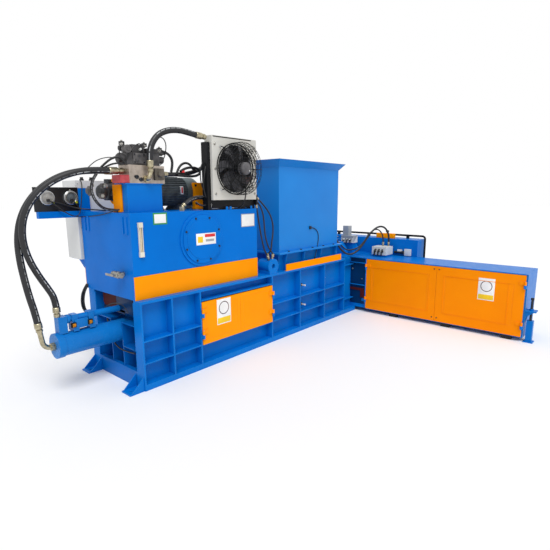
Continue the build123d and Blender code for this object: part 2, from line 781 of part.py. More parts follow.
side_length = side_barrel_head - side_barrel_end
side_barrel = bar(side_barrel_r, (ejector_x, side_barrel_end, side_cylinder_z), (0, 1, 0), side_length)
side_barrel += bar(side_barrel_r + 8, (ejector_x, side_barrel_head - 50, side_cylinder_z), (0, 1, 0), 50)
side_barrel += bar(110, (ejector_x, side_bulkhead_y + side_bulkhead, side_cylinder_z), (0, 1, 0), 25)
bore_start = (ejector_x, side_barrel_end + 40, side_cylinder_z)
side_barrel -= bar(side_bore_r, bore_start, (0, 1, 0), side_length - 90)
gland_start = (ejector_x, side_barrel_head - 51, side_cylinder_z)
side_barrel -= bar(side_rod_r + running_gap, gland_start, (0, 1, 0), 52)
parts["side_cylinder"] = side_barrel
side_piston = side_barrel_end + 50
parts["side_rod"] = fuse([
    bar(side_rod_r, (ejector_x, side_piston, side_cylinder_z), (0, 1, 0), pusher_face - 40 - side_piston),
    bar(side_bore_r - running_gap, (ejector_x, side_piston, side_cylinder_z), (0, 1, 0), 50),
    bar(80, (ejector_x, pusher_face - 70, side_cylinder_z), (0, 1, 0), 30),
])

# Levelling leg on the outer end of the side-push box

leg_x = ejector_front + 81
leg_half = 35
leg_y = ejector_near_end - 60
leg_top = 276
leg_bracket_z = 391
leg_tube = slab((leg_x - leg_half, leg_x + leg_half), (leg_y - leg_half, leg_y + leg_half), (12, leg_top))
leg_tube += slab((leg_x - 55, leg_x + 55), (leg_y - 55, leg_y + 55), (0, 12))
leg_tube += bar(14, (leg_x, leg_y, leg_top), (0, 0, 1), 288)
leg_tube += hex_nut(36, (leg_x, leg_y, leg_top + 262), (0, 0, 1), 25)
parts["levelling_leg"] = leg_tube
lug = slab((leg_x - 60, leg_x + 60), (leg_y - 60, ejector_near_end), (leg_bracket_z, leg_bracket_z + 16))
lug += hex_nut(44, (leg_x, leg_y, leg_bracket_z + 16), (0, 0, 1), 18)
lug -= bar(14 + running_gap, (leg_x, leg_y, leg_bracket_z - 1), (0, 0, 1), 60)
cheek = [
    (ejector_near_end, leg_bracket_z - 150), (leg_y + leg_half + 4, leg_bracket_z - 60),
    (leg_y - 40, leg_bracket_z), (ejector_near_end, leg_bracket_z),
]
cheeks = [plate_yz(cheek, x, x + 10) for x in (leg_x - leg_half - 14, leg_x + leg_half + 4)]
parts["ejector_frame"] += fuse([lug] + cheeks)

# Hydraulic tank with its manhole, welded brackets and the lid

tank = slab((0, tank_length), (tank_near, tank_far), (body_height, tank_top))
tank -= slab(
    (tank_sheet, tank_length - tank_sheet), (tank_near + tank_sheet, tank_far - tank_sheet),
    (body_height + tank_sheet, tank_top - tank_sheet),
)
cover_gap = 12
tank += bar(manhole_r + 30, (manhole_x, tank_near, manhole_z), (0, -1, 0), cover_gap)
tank -= bar(manhole_hole_r, (manhole_x, tank_near - 20, manhole_z), (0, 1, 0), 40)
lug_points = [(-14, 0), (14, 0), (14, 26), (8, 34), (-8, 34), (-14, 26)]
lug_stations = [tank_length - 460, tank_length - 405, tank_length - 80]
lug_y = tank_near + 6
tank_solids = [tank]
for x in lug_stations:
    tank_solids.append(plate_xz([(x + px, tank_top + pz) for px, pz in lug_points], lug_y, lug_y + 8))
shelf_top = cabinet_z0
shelf_x = (cabinet_x0 + 26, cabinet_x1)
tank_solids.append(slab(shelf_x, (tank_far, cabinet_front), (shelf_top - 10, shelf_top)))
for x in (60, 480):
    bracket = [
        (tank_far, shelf_top - 10), (cabinet_front - 20, shelf_top - 10),
        (tank_far + band_sheet, shelf_top - 220), (tank_far + band_sheet, band_top), (tank_far, band_top),
    ]
    tank_solids.append(plate_yz(bracket, x, x + 8))
arm_x0 = -426
arm_top = tank_top + 6
arm_bottom = tank_top - 57
arm_y = (470, 527)
tank_solids.append(slab((arm_x0, 0), arm_y, (arm_bottom, tank_top)))
tank_solids.append(slab((arm_x0, 0), (arm_y[0], arm_y[1]), (tank_top, arm_top)))
end_tabs = [(393, tank_top - 45), (-330, tank_top - 35)]
for y, tab_top in end_tabs:
    tank_solids.append(slab((-8, 0), (y - 34, y), (tank_top - 196, tab_top)))
tank_solids.append(slab((-9, 104), (tank_far - 12, tank_far), (tank_top - 40, tank_top + 234)))
parts["oil_tank"] = fuse(tank_solids)

manhole = bar(manhole_r, (manhole_x, tank_near - cover_gap, manhole_z), (0, -1, 0), 10)
manhole += bar(manhole_r - 45, (manhole_x, tank_near - cover_gap - 10, manhole_z), (0, -1, 0), 3)
parts["manhole_cover"] = manhole

bolt_heads = []
cover_bolt_r = manhole_r - 18
for k in range(8):
    angle = 2 * pi * (k + 0.5) / 8
    out_x = cover_bolt_r * cos(angle)
    out_z = cover_bolt_r * sin(angle)
    at = (manhole_x + out_x, tank_near - cover_gap - 10, manhole_z + out_z)
    bolt_heads.append(hex_nut(19, at, (0, -1, 0), 8))
foot_bolt_count = int((hopper_length - 150) // 260) + 1
for x in [hopper_start + 150 + 260 * k for k in range(foot_bolt_count)]:
    for side in (-1, 1):
        bolt_heads.append(hex_nut(24, (x, side * (hopper_half + 35), hopper_foot), (0, 0, 1), 12))
parts["cover_bolts"] = group(bolt_heads)

gauge_x = 90
gauge_z0 = tank_top - 400
gauge_z1 = tank_top - 84
gauge_solids = [
    slab((gauge_x - 22, gauge_x + 22), (tank_near - 26, tank_near), (z, z + 46))
    for z in (gauge_z0, gauge_z1 - 46)
]
gauge_solids += [
    slab((x, x + 6), (tank_near - 22, tank_near - 2), (gauge_z0 + 40, gauge_z1 - 40))
    for x in (gauge_x - 20, gauge_x + 14)
]
gauge_solids.append(bar(9, (gauge_x, tank_near - 13, gauge_z0 + 20), (0, 0, 1), gauge_z1 - gauge_z0 - 40))
parts["level_gauge"] = fuse(gauge_solids)

drain_y = -250
drain_z = body_height + 240
valve_profile = [
    (0, 0), (30, 0), (30, 26), (22, 30), (22, 48), (34, 54),
    (34, 100), (22, 106), (22, 124), (26, 126), (26, 146), (0, 146),
]
drain = turned([(0, 0), (20, 0), (20, 40), (0, 40)], (0, drain_y, drain_z), (-1, 0, 0))
drain += turned(valve_profile, (-40 - 26, drain_y + 73, drain_z), (0, -1, 0))
drain += bar(10, (-66 - 30, drain_y - 4, drain_z), (-1, 0, 0), 22)
parts["drain_valve"] = drain
lever_x = -66 - 30 - 22
lever_y = (drain_y - 18, drain_y + 120)
lever = slab((lever_x - 6, lever_x - seat_gap), lever_y, (drain_z - 11, drain_z + 11))
lever = fillet(lever.edges().filter_by(Axis.X), 10)
parts["drain_lever"] = lever

# Gauge panel and its two pressure gauges

panel_y = (arm_y[0] + 42, arm_y[0] + 46)
panel_top = tank_top + 240
dial_r = 69
panel_x0 = -444
dial_stations = [-324, -100]
dial_z = tank_top + 137
panel = slab((panel_x0, -17), panel_y, (arm_top, panel_top))
for x in dial_stations:
    panel -= bar(dial_r - 14, (x, panel_y[0] - 1, dial_z), (0, 1, 0), 10)
parts["gauge_panel"] = panel
dials = []
case_profile = [
    (0, 0), (dial_r - 16, 0), (dial_r - 16, 8), (dial_r, 8), (dial_r, 34),
    (dial_r - 5, 38), (dial_r - 9, 38), (dial_r - 9, 33), (0, 33),
]
for x in dial_stations:
    case = turned(case_profile, (x, panel_y[1] + 4, dial_z), (0, -1, 0))
    stem = hex_nut(24, (x, panel_y[1] + 4, dial_z), (0, 1, 0), 26)
    dials.append(case + stem)
parts["pressure_gauges"] = group(dials)

# Manifold stand, block and valves

stand = slab((stand_x0, stand_x1), (stand_near, stand_far), (tank_top, stand_top))
stand -= slab((stand_x0 + 8, stand_x1 - 8), (stand_near + 8, stand_far + 1), (tank_top - 1, stand_top + 1))
stand += slab((stand_x0 - 14, stand_x1 + 14), (stand_near - 6, stand_far), (stand_top, stand_top + stand_lid))
stand += slab((stand_x0 - 14, stand_x0 + 8), (stand_near, stand_far), (tank_top, tank_top + 8))
stand += slab((stand_x1 - 8, stand_x1 + 14), (stand_near, stand_far), (tank_top, tank_top + 8))
parts["manifold_stand"] = stand

block_z0 = stand_top + stand_lid
block_z1 = block_z0 + block_height
block_y = (block_near, block_near + block_depth)
manifold = slab((block_x0, block_x1), block_y, (block_z0, block_z1))
manifold = chamfer(manifold.edges().filter_by(Axis.Z), 5)
manifold -= bar(12, (block_x0 + 60, block_near - 1, block_z0 + 62), (0, 1, 0), 22)

red_block = slab((block_x0 - 92, block_x0), (block_near + 4, block_near + 150), (block_z0, block_z0 + 74))
red_block = chamfer(red_block.edges().filter_by(Axis.X), 4)
parts["manifold_block"] = manifold + red_block

flange_x = 428
flange_z = block_z0 + 87
upper_z = block_z1 + 112
upper_y = (block_near + 30, block_near + 150)
valve_solids = [
    slab((block_x0 - 10, block_x1 - 40), (block_near + 16, block_near + 170), (block_z1, upper_z)),
    slab((block_x0 + 60, block_x0 + 190), upper_y, (upper_z, upper_z + 74)),
    slab((block_x0 + 215, block_x0 + 330), upper_y, (upper_z, upper_z + 48)),
    bar(38, (block_x0 - 10, block_near + 70, block_z1 + 56), (-1, 0, 0), 60),
    bar(34, (block_x1 - 40, block_near + 70, block_z1 + 62), (1, 0, 0), 66),
]
flange_front = block_near - 28
cover_flange = slab((flange_x - 52, flange_x + 52), (flange_front, block_near), (flange_z - 55, flange_z + 55))
cover_flange = chamfer(cover_flange.edges().filter_by(Axis.Y), 8)
boss_profile = [(0, 0), (30, 0), (24, 22), (20, 26), (0, 26)]
cover_flange += turned(boss_profile, (flange_x, flange_front, flange_z), (0, -1, 0))

coil_solids = []
coil_z = block_z1 + 149
for x0, direction, length in ((block_x0 + 60, -1, 96), (block_x0 + 190, 1, 24)):
    coil = [(0, 0), (32, 0), (32, length * 0.75), (22, length * 0.8), (22, length), (0, length)]
    coil_solids.append(turned(coil, (x0, block_near + 90, coil_z), (direction, 0, 0)))
long_coil = [(0, 0), (32, 0), (32, 90), (20, 96), (20, 120), (0, 120)]
coil_solids.append(turned(long_coil, (block_x0 + 330, block_near + 90, block_z1 + 136), (1, 0, 0)))
parts["valve_stack"] = group([fuse(valve_solids + coil_solids), cover_flange])

# Motors with cooling fins, fan cowls, feet and terminal boxes

fin_count = 32
fin_thick = 4
cowl_length = 190
shaft_flange = 40


def motor_body(axis_y, radius, x0, x1, drive_side):
    """Finned frame, end flange and cowl of one motor, on its feet. drive_side is -1 or 1 in X."""
    flange_at = x0 if drive_side < 0 else x1 - shaft_flange
    fins_from = x0 + shaft_flange if drive_side < 0 else x0 + cowl_length
    fins_to = x1 - cowl_length if drive_side < 0 else x1 - shaft_flange
    cowl_from = fins_to if drive_side < 0 else fins_from
    reach = radius + fin_reach
    body = bar(radius, (fins_from, axis_y, motor_axis_z), (1, 0, 0), fins_to - fins_from)
    body += bar(reach, (flange_at, axis_y, motor_axis_z), (1, 0, 0), shaft_flange)
    cowl = [(0, 0), (reach, 0), (reach, cowl_length - 40), (radius - 8, cowl_length), (0, cowl_length)]
    body += turned(cowl, (cowl_from, axis_y, motor_axis_z), (-drive_side, 0, 0))
    fin = slab((fins_from, fins_to), (-fin_thick / 2, fin_thick / 2), (radius - 4, reach - 2))
    for k in range(fin_count):
        body += Pos(0, axis_y, motor_axis_z) * Rot(360 * (k + 0.5) / fin_count, 0, 0) * fin
    foot_half = reach - 6
    waist_z = motor_axis_z - radius + 8
    for x in (fins_from + 30, fins_to - 90):
        foot = [
            (axis_y - foot_half, tank_top), (axis_y + foot_half, tank_top),
            (axis_y + foot_half, tank_top + 16), (axis_y + radius * 0.55, waist_z),
            (axis_y - radius * 0.55, waist_z), (axis_y - foot_half, tank_top + 16),
        ]
        body += plate_yz(foot, x, x + 60)
    middle = (fins_from + fins_to) / 2
    box_low = motor_axis_z + radius - 6
    body += slab((middle - 62, middle + 62), (axis_y - 52, axis_y + 52), (box_low, box_low + 62))
    return body


first_motor = motor_body(motor_axis_y, motor_r, motor_start, motor_end, -1)
second_motor = motor_body(second_motor_y, second_motor_r, second_motor_start, second_motor_end, 1)
parts["electric_motors"] = group([first_motor, second_motor])

bell_scale = {motor_axis_y: 1, second_motor_y: second_motor_r / motor_r}
bell_solids = []
pump_solids = []
for axis_y, x, direction in ((motor_axis_y, motor_start, -1), (second_motor_y, second_motor_end, 1)):
    k = bell_scale[axis_y]
    flange_r = (motor_r + 6) * k
    neck_r = 118 * k
    profile = [
        (0, 0), (flange_r, 0), (flange_r, 14), (neck_r, 30), (neck_r, bell_length - 18),
        (neck_r + 12, bell_length - 14), (neck_r + 12, bell_length), (0, bell_length),
    ]
    bell = turned(profile, (x, axis_y, motor_axis_z), (direction, 0, 0))
    window_x = sorted((x + direction * 45, x + direction * 100))
    bell -= slab(window_x, (axis_y - 46 * k, axis_y + 46 * k), (motor_axis_z + 40, motor_axis_z + 200))
    bell_solids.append(bell)
    start = x + direction * bell_length
    profile = [
        (0, 0), (96 * k, 0), (96 * k, 22), (84 * k, 26), (84 * k, 96), (70 * k, 104),
        (70 * k, 140), (52 * k, pump_length), (0, pump_length),
    ]
    pump = turned(profile, (start, axis_y, motor_axis_z), (direction, 0, 0))
    pump += bar(34 * k, (start + direction * 62, axis_y, motor_axis_z), (0, 0, 1), 118)
    pump += bar(26 * k, (start + direction * 62, axis_y, motor_axis_z - 20), (0, -1, 0), 118 * k)
    pump_solids.append(pump)
parts["bell_housings"] = group(bell_solids)
parts["pumps"] = group(pump_solids)

# Oil cooler: finned box, stand, fan and wire guard

cooler_y = (cooler_near, cooler_near + cooler_depth)
cooler = slab((cooler_x0, cooler_x1), cooler_y, (cooler_z0, cooler_z1))
orifice_r = blade_tip_r + 6
plenum = 70
cooler -= bar(orifice_r, (fan_x, cooler_near - 1, fan_z), (0, 1, 0), plenum + 1)
back_y = cooler_near + cooler_depth
core_margin = 45
core_count = 14
core_pitch = (cooler_z1 - cooler_z0 - 2 * core_margin) / core_count
core_x = (cooler_x0 + core_margin, cooler_x1 - core_margin)
for k in range(core_count):
    z = cooler_z0 + core_margin + core_pitch * (k + 0.18)
    cooler -= slab(core_x, (back_y - 22, back_y + 1), (z, z + core_pitch * 0.64))
parts["oil_cooler"] = cooler

upright = 48
stand_y = (cooler_near + 32, cooler_near + cooler_depth)
stand_solids = [
    slab((cooler_x0 - upright, cooler_x0), stand_y, (tank_top, cooler_z1 - 70)),
    slab((cooler_x0, tank_length - 4), stand_y, (cooler_z0 - 34, cooler_z0)),
    slab((cooler_x0, tank_length - 4), stand_y, (tank_top, tank_top + 12)),
]
for x in (cooler_x0 + 170, cooler_x1 - 204, tank_length - 44):
    stand_solids.append(slab((x, x + 40), stand_y, (tank_top, cooler_z0 - 34)))
parts["cooler_stand"] = fuse(stand_solids)

guard_front = cooler_near - guard_reach
wire = 5
guard_solids = []
ring_radii = [90, 136, 182, 228]
for radius in ring_radii:
    outer = bar(radius + wire / 2, (fan_x, guard_front + wire, fan_z), (0, -1, 0), wire)
    inner = bar(radius - wire / 2, (fan_x, guard_front + 2 * wire, fan_z), (0, -1, 0), 3 * wire)
    guard_solids.append(outer - inner)
rim = bar(guard_r, (fan_x, cooler_near, fan_z), (0, -1, 0), 8)
guard_solids.append(rim - bar(guard_r - 9, (fan_x, cooler_near + 1, fan_z), (0, -1, 0), 12))
guard_solids.append(bar(fan_motor_r + 18, (fan_x, guard_front + wire, fan_z), (0, -1, 0), wire))
spoke_count = 16
spoke_profile = [
    (fan_motor_r + 10, guard_front), (guard_r - 27, guard_front),
    (guard_r - 1, cooler_near - 8), (guard_r - 1, cooler_near - 1),
    (guard_r - 8, cooler_near - 1), (guard_r - 8, cooler_near - 10),
    (guard_r - 31, guard_front + wire), (fan_motor_r + 10, guard_front + wire),
]
spoke = extrude(outline(spoke_profile), wire / 2, both=True)
for k in range(spoke_count):
    guard_solids.append(Pos(fan_x, 0, fan_z) * Rot(0, 360 * k / spoke_count, 0) * spoke)

fan_y = cooler_near + 12
motor_back = fan_y - fan_wheel_depth - 4
guard_solids.append(bar(fan_motor_r, (fan_x, guard_front, fan_z), (0, 1, 0), motor_back - guard_front))
parts["fan_guard"] = fuse(guard_solids)
hub = bar(fan_hub_r, (fan_x, motor_back + 2, fan_z), (0, 1, 0), fan_wheel_depth)
fan_solids = [hub]
blade_count = 7
blade_pitch = 28
blade_sections = [
    (fan_hub_r - 6, 74, blade_pitch, 0), (165, 98, blade_pitch - 6, 9), (blade_tip_r, 112, blade_pitch - 11, 24),
]
for k in range(blade_count):
    sections = []
    for radius, chord, twist, sweep_angle in blade_sections:
        plane = Plane(origin=(radius, 0, 0), x_dir=(0, 1, 0), z_dir=(1, 0, 0))
        shape = Rot(0, 0, twist) * Rectangle(chord, 4)
        sections.append(Rot(0, 0, sweep_angle) * (plane * shape))
    blade = loft(sections, ruled=True)
    blade = Rot(90, 0, 0) * (Rot(0, 0, 360 * k / blade_count) * blade)
    fan_solids.append(Pos(fan_x, motor_back + 2 + fan_wheel_depth / 2, fan_z) * blade)
parts["fan_wheel"] = fuse(fan_solids)

# Switch cabinet with its door

cabinet_y = (cabinet_back, cabinet_front - 24)
cabinet = slab((cabinet_x0, cabinet_x1), cabinet_y, (cabinet_z0, cabinet_z1))
cabinet -= slab(
    (cabinet_x0 + cabinet_sheet, cabinet_x1 - cabinet_sheet), (cabinet_back + cabinet_sheet, cabinet_front),
    (cabinet_z0 + cabinet_sheet, cabinet_z1 - cabinet_sheet),
)
knob = [(0, 0), (22, 0), (22, 16), (16, 18), (16, 36), (0, 36)]
for x in (80, 180):
    cabinet += turned(knob, (x, cabinet_back + 70, cabinet_z1), (0, 0, 1))
mount_z = cabinet_z0 + 229
cabinet += slab((cabinet_x0 + 40, cabinet_x1 - 40), (tank_far, cabinet_back), (mount_z, mount_z + 40))
cabinet_axis = (cabinet_x1 + 10, cabinet_front - 12)
cabinet_door = slab(
    (cabinet_x0, cabinet_x1 - 0.5), (cabinet_front - 22, cabinet_front), (cabinet_z0 + 2, cabinet_z1 - 2)
)
cabinet_door -= slab(
    (cabinet_x0 + 3, cabinet_x1 - 3), (cabinet_front - 23, cabinet_front - 3), (cabinet_z0 + 5, cabinet_z1 - 5)
)
small_knuckle = 9
small_pin = 5
small_length = 35
for z in (cabinet_z0 + 90, cabinet_z1 - 170):
    top = z + small_length
    fixed = bar(small_knuckle, (*cabinet_axis, z), (0, 0, 1), small_length)
    fixed += bar(small_pin, (*cabinet_axis, top), (0, 0, 1), small_length)
    fixed += slab((cabinet_x1, cabinet_x1 + 8), (cabinet_front - 60, cabinet_front - 16), (z, top))
    cabinet += fixed
    moving = bar(small_knuckle, (*cabinet_axis, top + seat_gap), (0, 0, 1), small_length)
    moving += slab(
        (cabinet_x1 - 4, cabinet_x1 + 8), (cabinet_front - 14, cabinet_front - 4),
        (top + seat_gap, top + small_length),
    )
    moving -= bar(small_pin + running_gap, (*cabinet_axis, top - 5), (0, 0, 1), small_length + 25)
    cabinet_door += moving
lock_at = (cabinet_x0 + 45, cabinet_front, (cabinet_z0 + cabinet_z1) / 2)
cabinet_door += turned([(0, 0), (20, 0), (20, 8), (12, 12), (0, 12)], lock_at, (0, 1, 0))
parts["cabinet"] = cabinet
parts["cabinet_door"] = cabinet_door

# Junction boxes on the chamber and box roofs, with their glands and hose fittings

box_x0 = ejector_front + 251
box_x1 = box_x0 + 230
box_near = -880
box_far = -630
box_low = ejector_top + 28
box_high = box_low + 125
second_box_x = ejector_front + 201
second_box_low = body_height + 180
second_box_high = second_box_low + 115


def junction_box(x, y, z):
    """Closed box with a lid line and three glands on its rear face."""
    body = slab(x, y, z)
    body = chamfer(body.edges().filter_by(Axis.Z), 6)
    body -= slab((x[0] - 1, x[0] + 2), (y[0] - 1, y[1] + 1), (z[1] - 26, z[1] - 23))
    pitch = (y[1] - y[0]) / 4
    gland = [(0, 0), (17, 0), (17, 16), (11, 20), (11, 34), (0, 34)]
    for k in (1, 2, 3):
        body += turned(gland, (x[0], y[0] + pitch * k, (z[0] + z[1]) / 2 - 8), (-1, 0, 0))
    return body


near_box = junction_box((box_x0, box_x1), (box_near, box_far), (box_low, box_high))
far_box = junction_box((second_box_x, second_box_x + 140), (-320, -90), (second_box_low, second_box_high))
switch_z = (second_box_high, second_box_high + 155)
switch_block = slab((second_box_x + 30, second_box_x + 130), (-210, -100), switch_z)
switch_block = chamfer(switch_block.edges().filter_by(Axis.Z), 6)
parts["junction_boxes"] = group([near_box, far_box + switch_block])
parts["ejector_roof"] += slab(
    (box_x0 + 12, box_x1 - 12), (box_near + 12, box_far - 12), (ejector_top, box_low)
)
parts["chamber_roof"] += slab(
    (second_box_x + 20, second_box_x + 120), (-300, -110), (body_height, second_box_low)
)

# Bent pipe along the end wall's top

wall_pipe_r = 16
wall_pipe_x = chamber_end + 179
wall_pipe_z = end_wall_height + 50
wall_pipe_foot = end_wall_height - 482
wall_pipe_y = end_wall_near - 40
wall_pipe_path = FilletPolyline(
    (wall_pipe_x, 460, end_wall_height), (wall_pipe_x, 460, wall_pipe_z),
    (wall_pipe_x, wall_pipe_y, wall_pipe_z), (wall_pipe_x, wall_pipe_y, wall_pipe_foot), radius=45,
)
wall_pipe_start = Plane(origin=wall_pipe_path @ 0, z_dir=wall_pipe_path % 0)
wall_pipe = sweep(wall_pipe_start * Circle(wall_pipe_r), path=wall_pipe_path)
for y in (-1000, -300, 300):
    wall_pipe += slab((wall_pipe_x - 18, wall_pipe_x + 18), (y - 20, y + 20), (end_wall_height, wall_pipe_z))
wall_pipe += slab(
    (wall_pipe_x - 20, wall_pipe_x + 20), (wall_pipe_y, end_wall_near), (wall_pipe_foot, wall_pipe_foot + 32)
)
parts["wall_pipe"] = wall_pipe

# Round distributor on the deck, behind the hopper

drum_x = tank_length + 217
drum_r = 80
drum_z = body_height + drum_r + 14
drum = bar(drum_r, (drum_x, -half_width + 6, drum_z), (0, 1, 0), 200)
drum += bar(drum_r + 12, (drum_x, -half_width + 6, drum_z), (0, 1, 0), 20)
saddle_y = (-half_width + 6, -half_width + 206)
drum += slab((drum_x - 70, drum_x + 70), saddle_y, (body_height, body_height + 40))
drum -= bar(30, (drum_x, -half_width, drum_z), (0, 1, 0), 40)
parts["distributor"] = drum

# Hose fittings

main_port_z = block_z0 + 112
main_tip_x = -30
cap_tip = (barrel_rear - 120, 0, ram_z + 245)
fittings = []
for y in (-160, -76):
    fittings.append(hose_end((main_tip_x, y, main_port_z), (-1, 0, 0), main_hose_r, block_x0 - main_tip_x))
fittings.append(hose_end((barrel_rear + 47, 0, pipe_block_top + 91), (0, 0, 1), main_hose_r, 91))
elbow_path = FilletPolyline(
    (barrel_rear - 4, 0, ram_z), (barrel_rear - 89, 0, ram_z), (barrel_rear - 110, 0, ram_z + 155), radius=70,
)
elbow = sweep(Plane(origin=elbow_path @ 0, z_dir=elbow_path % 0) * Circle(22), path=elbow_path)
elbow += hex_nut(66, (barrel_rear, 0, ram_z), (-1, 0, 0), 34)
elbow += hose_end(cap_tip, (-0.11, 0, 1), main_hose_r, 92)
fittings.append(elbow)
riser_x = 315
riser_y = -300
elbow_z = block_z0 + 42
riser_path = FilletPolyline(
    (riser_x - 25, block_near - 4, elbow_z), (riser_x - 22, riser_y, elbow_z),
    (riser_x, riser_y, elbow_z + 58), radius=24,
)
riser_elbow = sweep(Plane(origin=riser_path @ 0, z_dir=riser_path % 0) * Circle(21), path=riser_path)
riser_elbow += hex_nut(56, (riser_x - 25, block_near, elbow_z), (0, -1, 0), 20)
riser_top = block_z1 + 43
riser_elbow += hose_end((riser_x, riser_y, riser_top), (0, 0, 1), main_hose_r, riser_top - elbow_z - 52)
fittings.append(riser_elbow)
fittings.append(hose_end((cooler_x0 - 163, -358, cooler_z1 - 13), (-1, 0.02, 0.08), main_hose_r, 126))
cooler_elbow = slab((cooler_x0 + 32, cooler_x0 + 84), (back_y, back_y + 60), (cooler_z0 + 4, cooler_z0 + 54))
cooler_elbow += hose_end((cooler_x0 - 23, -264, cooler_z0 + 28), (-1, 0, 0), medium_hose_r, 55)
fittings.append(cooler_elbow)
return_x = stand_x1 + (cooler_x0 - stand_x1) * 111 / 259
tank_elbow = hex_nut(46, (return_x, -258, tank_top), (0, 0, 1), 42)
tank_elbow += hose_end((return_x + 38, -259, tank_top + 62), (0.804, -0.03, 0.595), medium_hose_r, 46)
fittings.append(tank_elbow)
fittings.append(hose_end((block_x1 + 85, -170, block_z0 + 96), (1, 0, 0), medium_hose_r, 85))
pump_port = (second_motor_end + bell_length + 62, second_motor_y, motor_axis_z + 184)
fittings.append(hose_end(pump_port, (0, 0, 1), medium_hose_r, 66))
fittings.append(hose_end((box_x1 - 28, -817, box_high + 64), (0, 0, 1), small_hose_r, 64))
fittings.append(hose_end((box_x0 + 145, -749, box_high + 64), (0, 0, 1), small_hose_r, 64))
loop_bracket = slab((hopper_end, hopper_end + 85), (-370, -300), (hopper_foot + 91, hopper_foot + 101))
loop_bracket += hose_end((hopper_end + 81, -340, hopper_foot + 35), (0.2, -0.2, -0.96), small_hose_r, 64)
fittings.append(loop_bracket)
for angle, y in ((-24, -440), (16, -440), (-2, -392)):
    aim = (sin(radians(angle)), 0, cos(radians(angle)))
    tip = (drum_x + 150 * aim[0], y, drum_z + 150 * aim[2])
    fittings.append(hose_end(tip, aim, small_hose_r, 150 - drum_r - 0.2))
parts["hose_fittings"] = group(fittings)

# Hoses

hose("hose_rod_side", main_hose_r, [
    (-30, -160, 2052), (-178, -158, 2052), (-345, -138, 2026), (-505, -100, 1955), (-640, -62, 1838),
    (-728, -30, 1682), (-755, -10, 1500), (-722, 0, 1318), (-655, 0, 1158), (-586, 0, 1030), (-543, 0, 940),
    (-536, 0, 853),
])
hose("hose_cap_side", main_hose_r, [
    (-30, -76, 2052), (-180, -70, 2050), (-352, -44, 2020), (-520, -8, 1940), (-668, 28, 1815),
    (-772, 52, 1655), (-817, 60, 1480), (-818, 50, 1300), (-796, 30, 1130), (-762, 12, 970), (-726, 2, 850),
    (-703, 0, 745),
])
hose("hose_cooler_in", main_hose_r, [
    (315, -300, 2150), (316, -301, 2232), (352, -305, 2325), (418, -312, 2398), (510, -322, 2438),
    (610, -334, 2452), (715, -346, 2443), (820, -358, 2423),
])

return_run = cooler_x0 - 23 - (return_x + 38)
hose("hose_cooler_out", medium_hose_r, [
    (cooler_x0 - 23 - share * return_run, y, tank_top + up)
    for share, y, up in (
        (0, -264, 132), (65 / 235, -264, 132), (128 / 235, -263, 123), (185 / 235, -261, 99), (1, -259, 62),
    )
])
hose("hose_main_return", medium_hose_r, [
    (590, -170, 2036), (680, -170, 2037), (790, -168, 2044), (910, -160, 2064), (1030, -142, 2100),
    (1145, -112, 2150), (1255, -68, 2210), (1355, -5, 2268), (1440, 70, 2315), (1508, 150, 2338),
    (1548, 240, 2326), (1560, 320, 2276), (1562, 375, 2205), (1562, 400, 2125), (1562, 400, 2050),
])

hose("hose_far_loop", small_hose_r, [
    (3478, -340, 1140), (3500, -362, 1055), (3540, -400, 985), (3595, -440, 932), (3665, -485, 912),
    (3745, -535, 948), (3830, -585, 1040), (3895, -632, 1160), (3955, -682, 1268), (4050, -735, 1335),
    (4160, -775, 1325), (4235, -802, 1255), (4262, -817, 1165), (4262, -817, 1079),
])

os.makedirs("parts", exist_ok=True)
for name, shape in parts.items():
    export_step(Pos(-origin_x, 0, 0) * shape, f"parts/{name}.step")
for note in bend_notes:
    print(note)
print(len(parts), "nodes, origin at layout x", origin_x)
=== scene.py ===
"""Horizontal hydraulic baler: camera, light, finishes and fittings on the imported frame."""

import logging
import math
from dataclasses import dataclass, field, replace
from enum import Enum

import bmesh
import bpy
from mathutils import Matrix, Vector


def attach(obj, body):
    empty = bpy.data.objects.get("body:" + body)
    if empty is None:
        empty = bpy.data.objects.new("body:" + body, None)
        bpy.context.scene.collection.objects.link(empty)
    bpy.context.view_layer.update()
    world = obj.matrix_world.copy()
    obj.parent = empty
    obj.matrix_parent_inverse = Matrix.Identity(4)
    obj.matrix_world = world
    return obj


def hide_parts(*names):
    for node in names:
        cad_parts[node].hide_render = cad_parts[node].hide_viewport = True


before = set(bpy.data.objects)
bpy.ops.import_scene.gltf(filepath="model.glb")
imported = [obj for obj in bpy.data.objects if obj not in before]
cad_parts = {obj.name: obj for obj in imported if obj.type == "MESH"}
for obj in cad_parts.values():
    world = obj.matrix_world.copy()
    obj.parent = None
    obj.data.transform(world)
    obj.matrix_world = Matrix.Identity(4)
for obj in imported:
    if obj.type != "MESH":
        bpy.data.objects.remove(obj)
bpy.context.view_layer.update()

log = logging.getLogger("baler")
logging.basicConfig(level=logging.INFO, format="%(message)s")

Point = tuple[float, float, float]
Span = tuple[float, float]
Source = tuple[bpy.types.Node, str | int]
Colour = tuple[float, float, float, float]
Ring = list[bmesh.types.BMVert]
MM = 0.001
# The layout's X of the frame's origin, in millimetres.
ORIGIN_X = 2338
# The Mix node's colour result has no name of its own.
MIXED = 2
# The Wave texture runs through 20 radians a unit.
WAVE_TURN = math.tau / 20
# One dash with its gap on a hose, in metres.
DASH_PITCH = 0.062
# How thick a plain plate is, in millimetres.
PLATE = 1.2
# The widest rounding of a block, as a share of its thinnest side.
WIDEST_EDGE = 0.45
# Edges sharper than this stay sharp.
SHARP = math.radians(35)
# Directions in the frame: to the side seen in the photograph, away from it, to both ends, and up.
NEAR, FAR, REAR, AHEAD, UP = (0, -1, 0), (0, 1, 0), (-1, 0, 0), (1, 0, 0), (0, 0, 1)


class Body(Enum):
    """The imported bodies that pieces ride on."""

    FRAME = "frame"
    OUTER_DOOR = "outer_door"
    INNER_DOOR = "inner_door"
    LEFT_LEAF = "left_leaf"


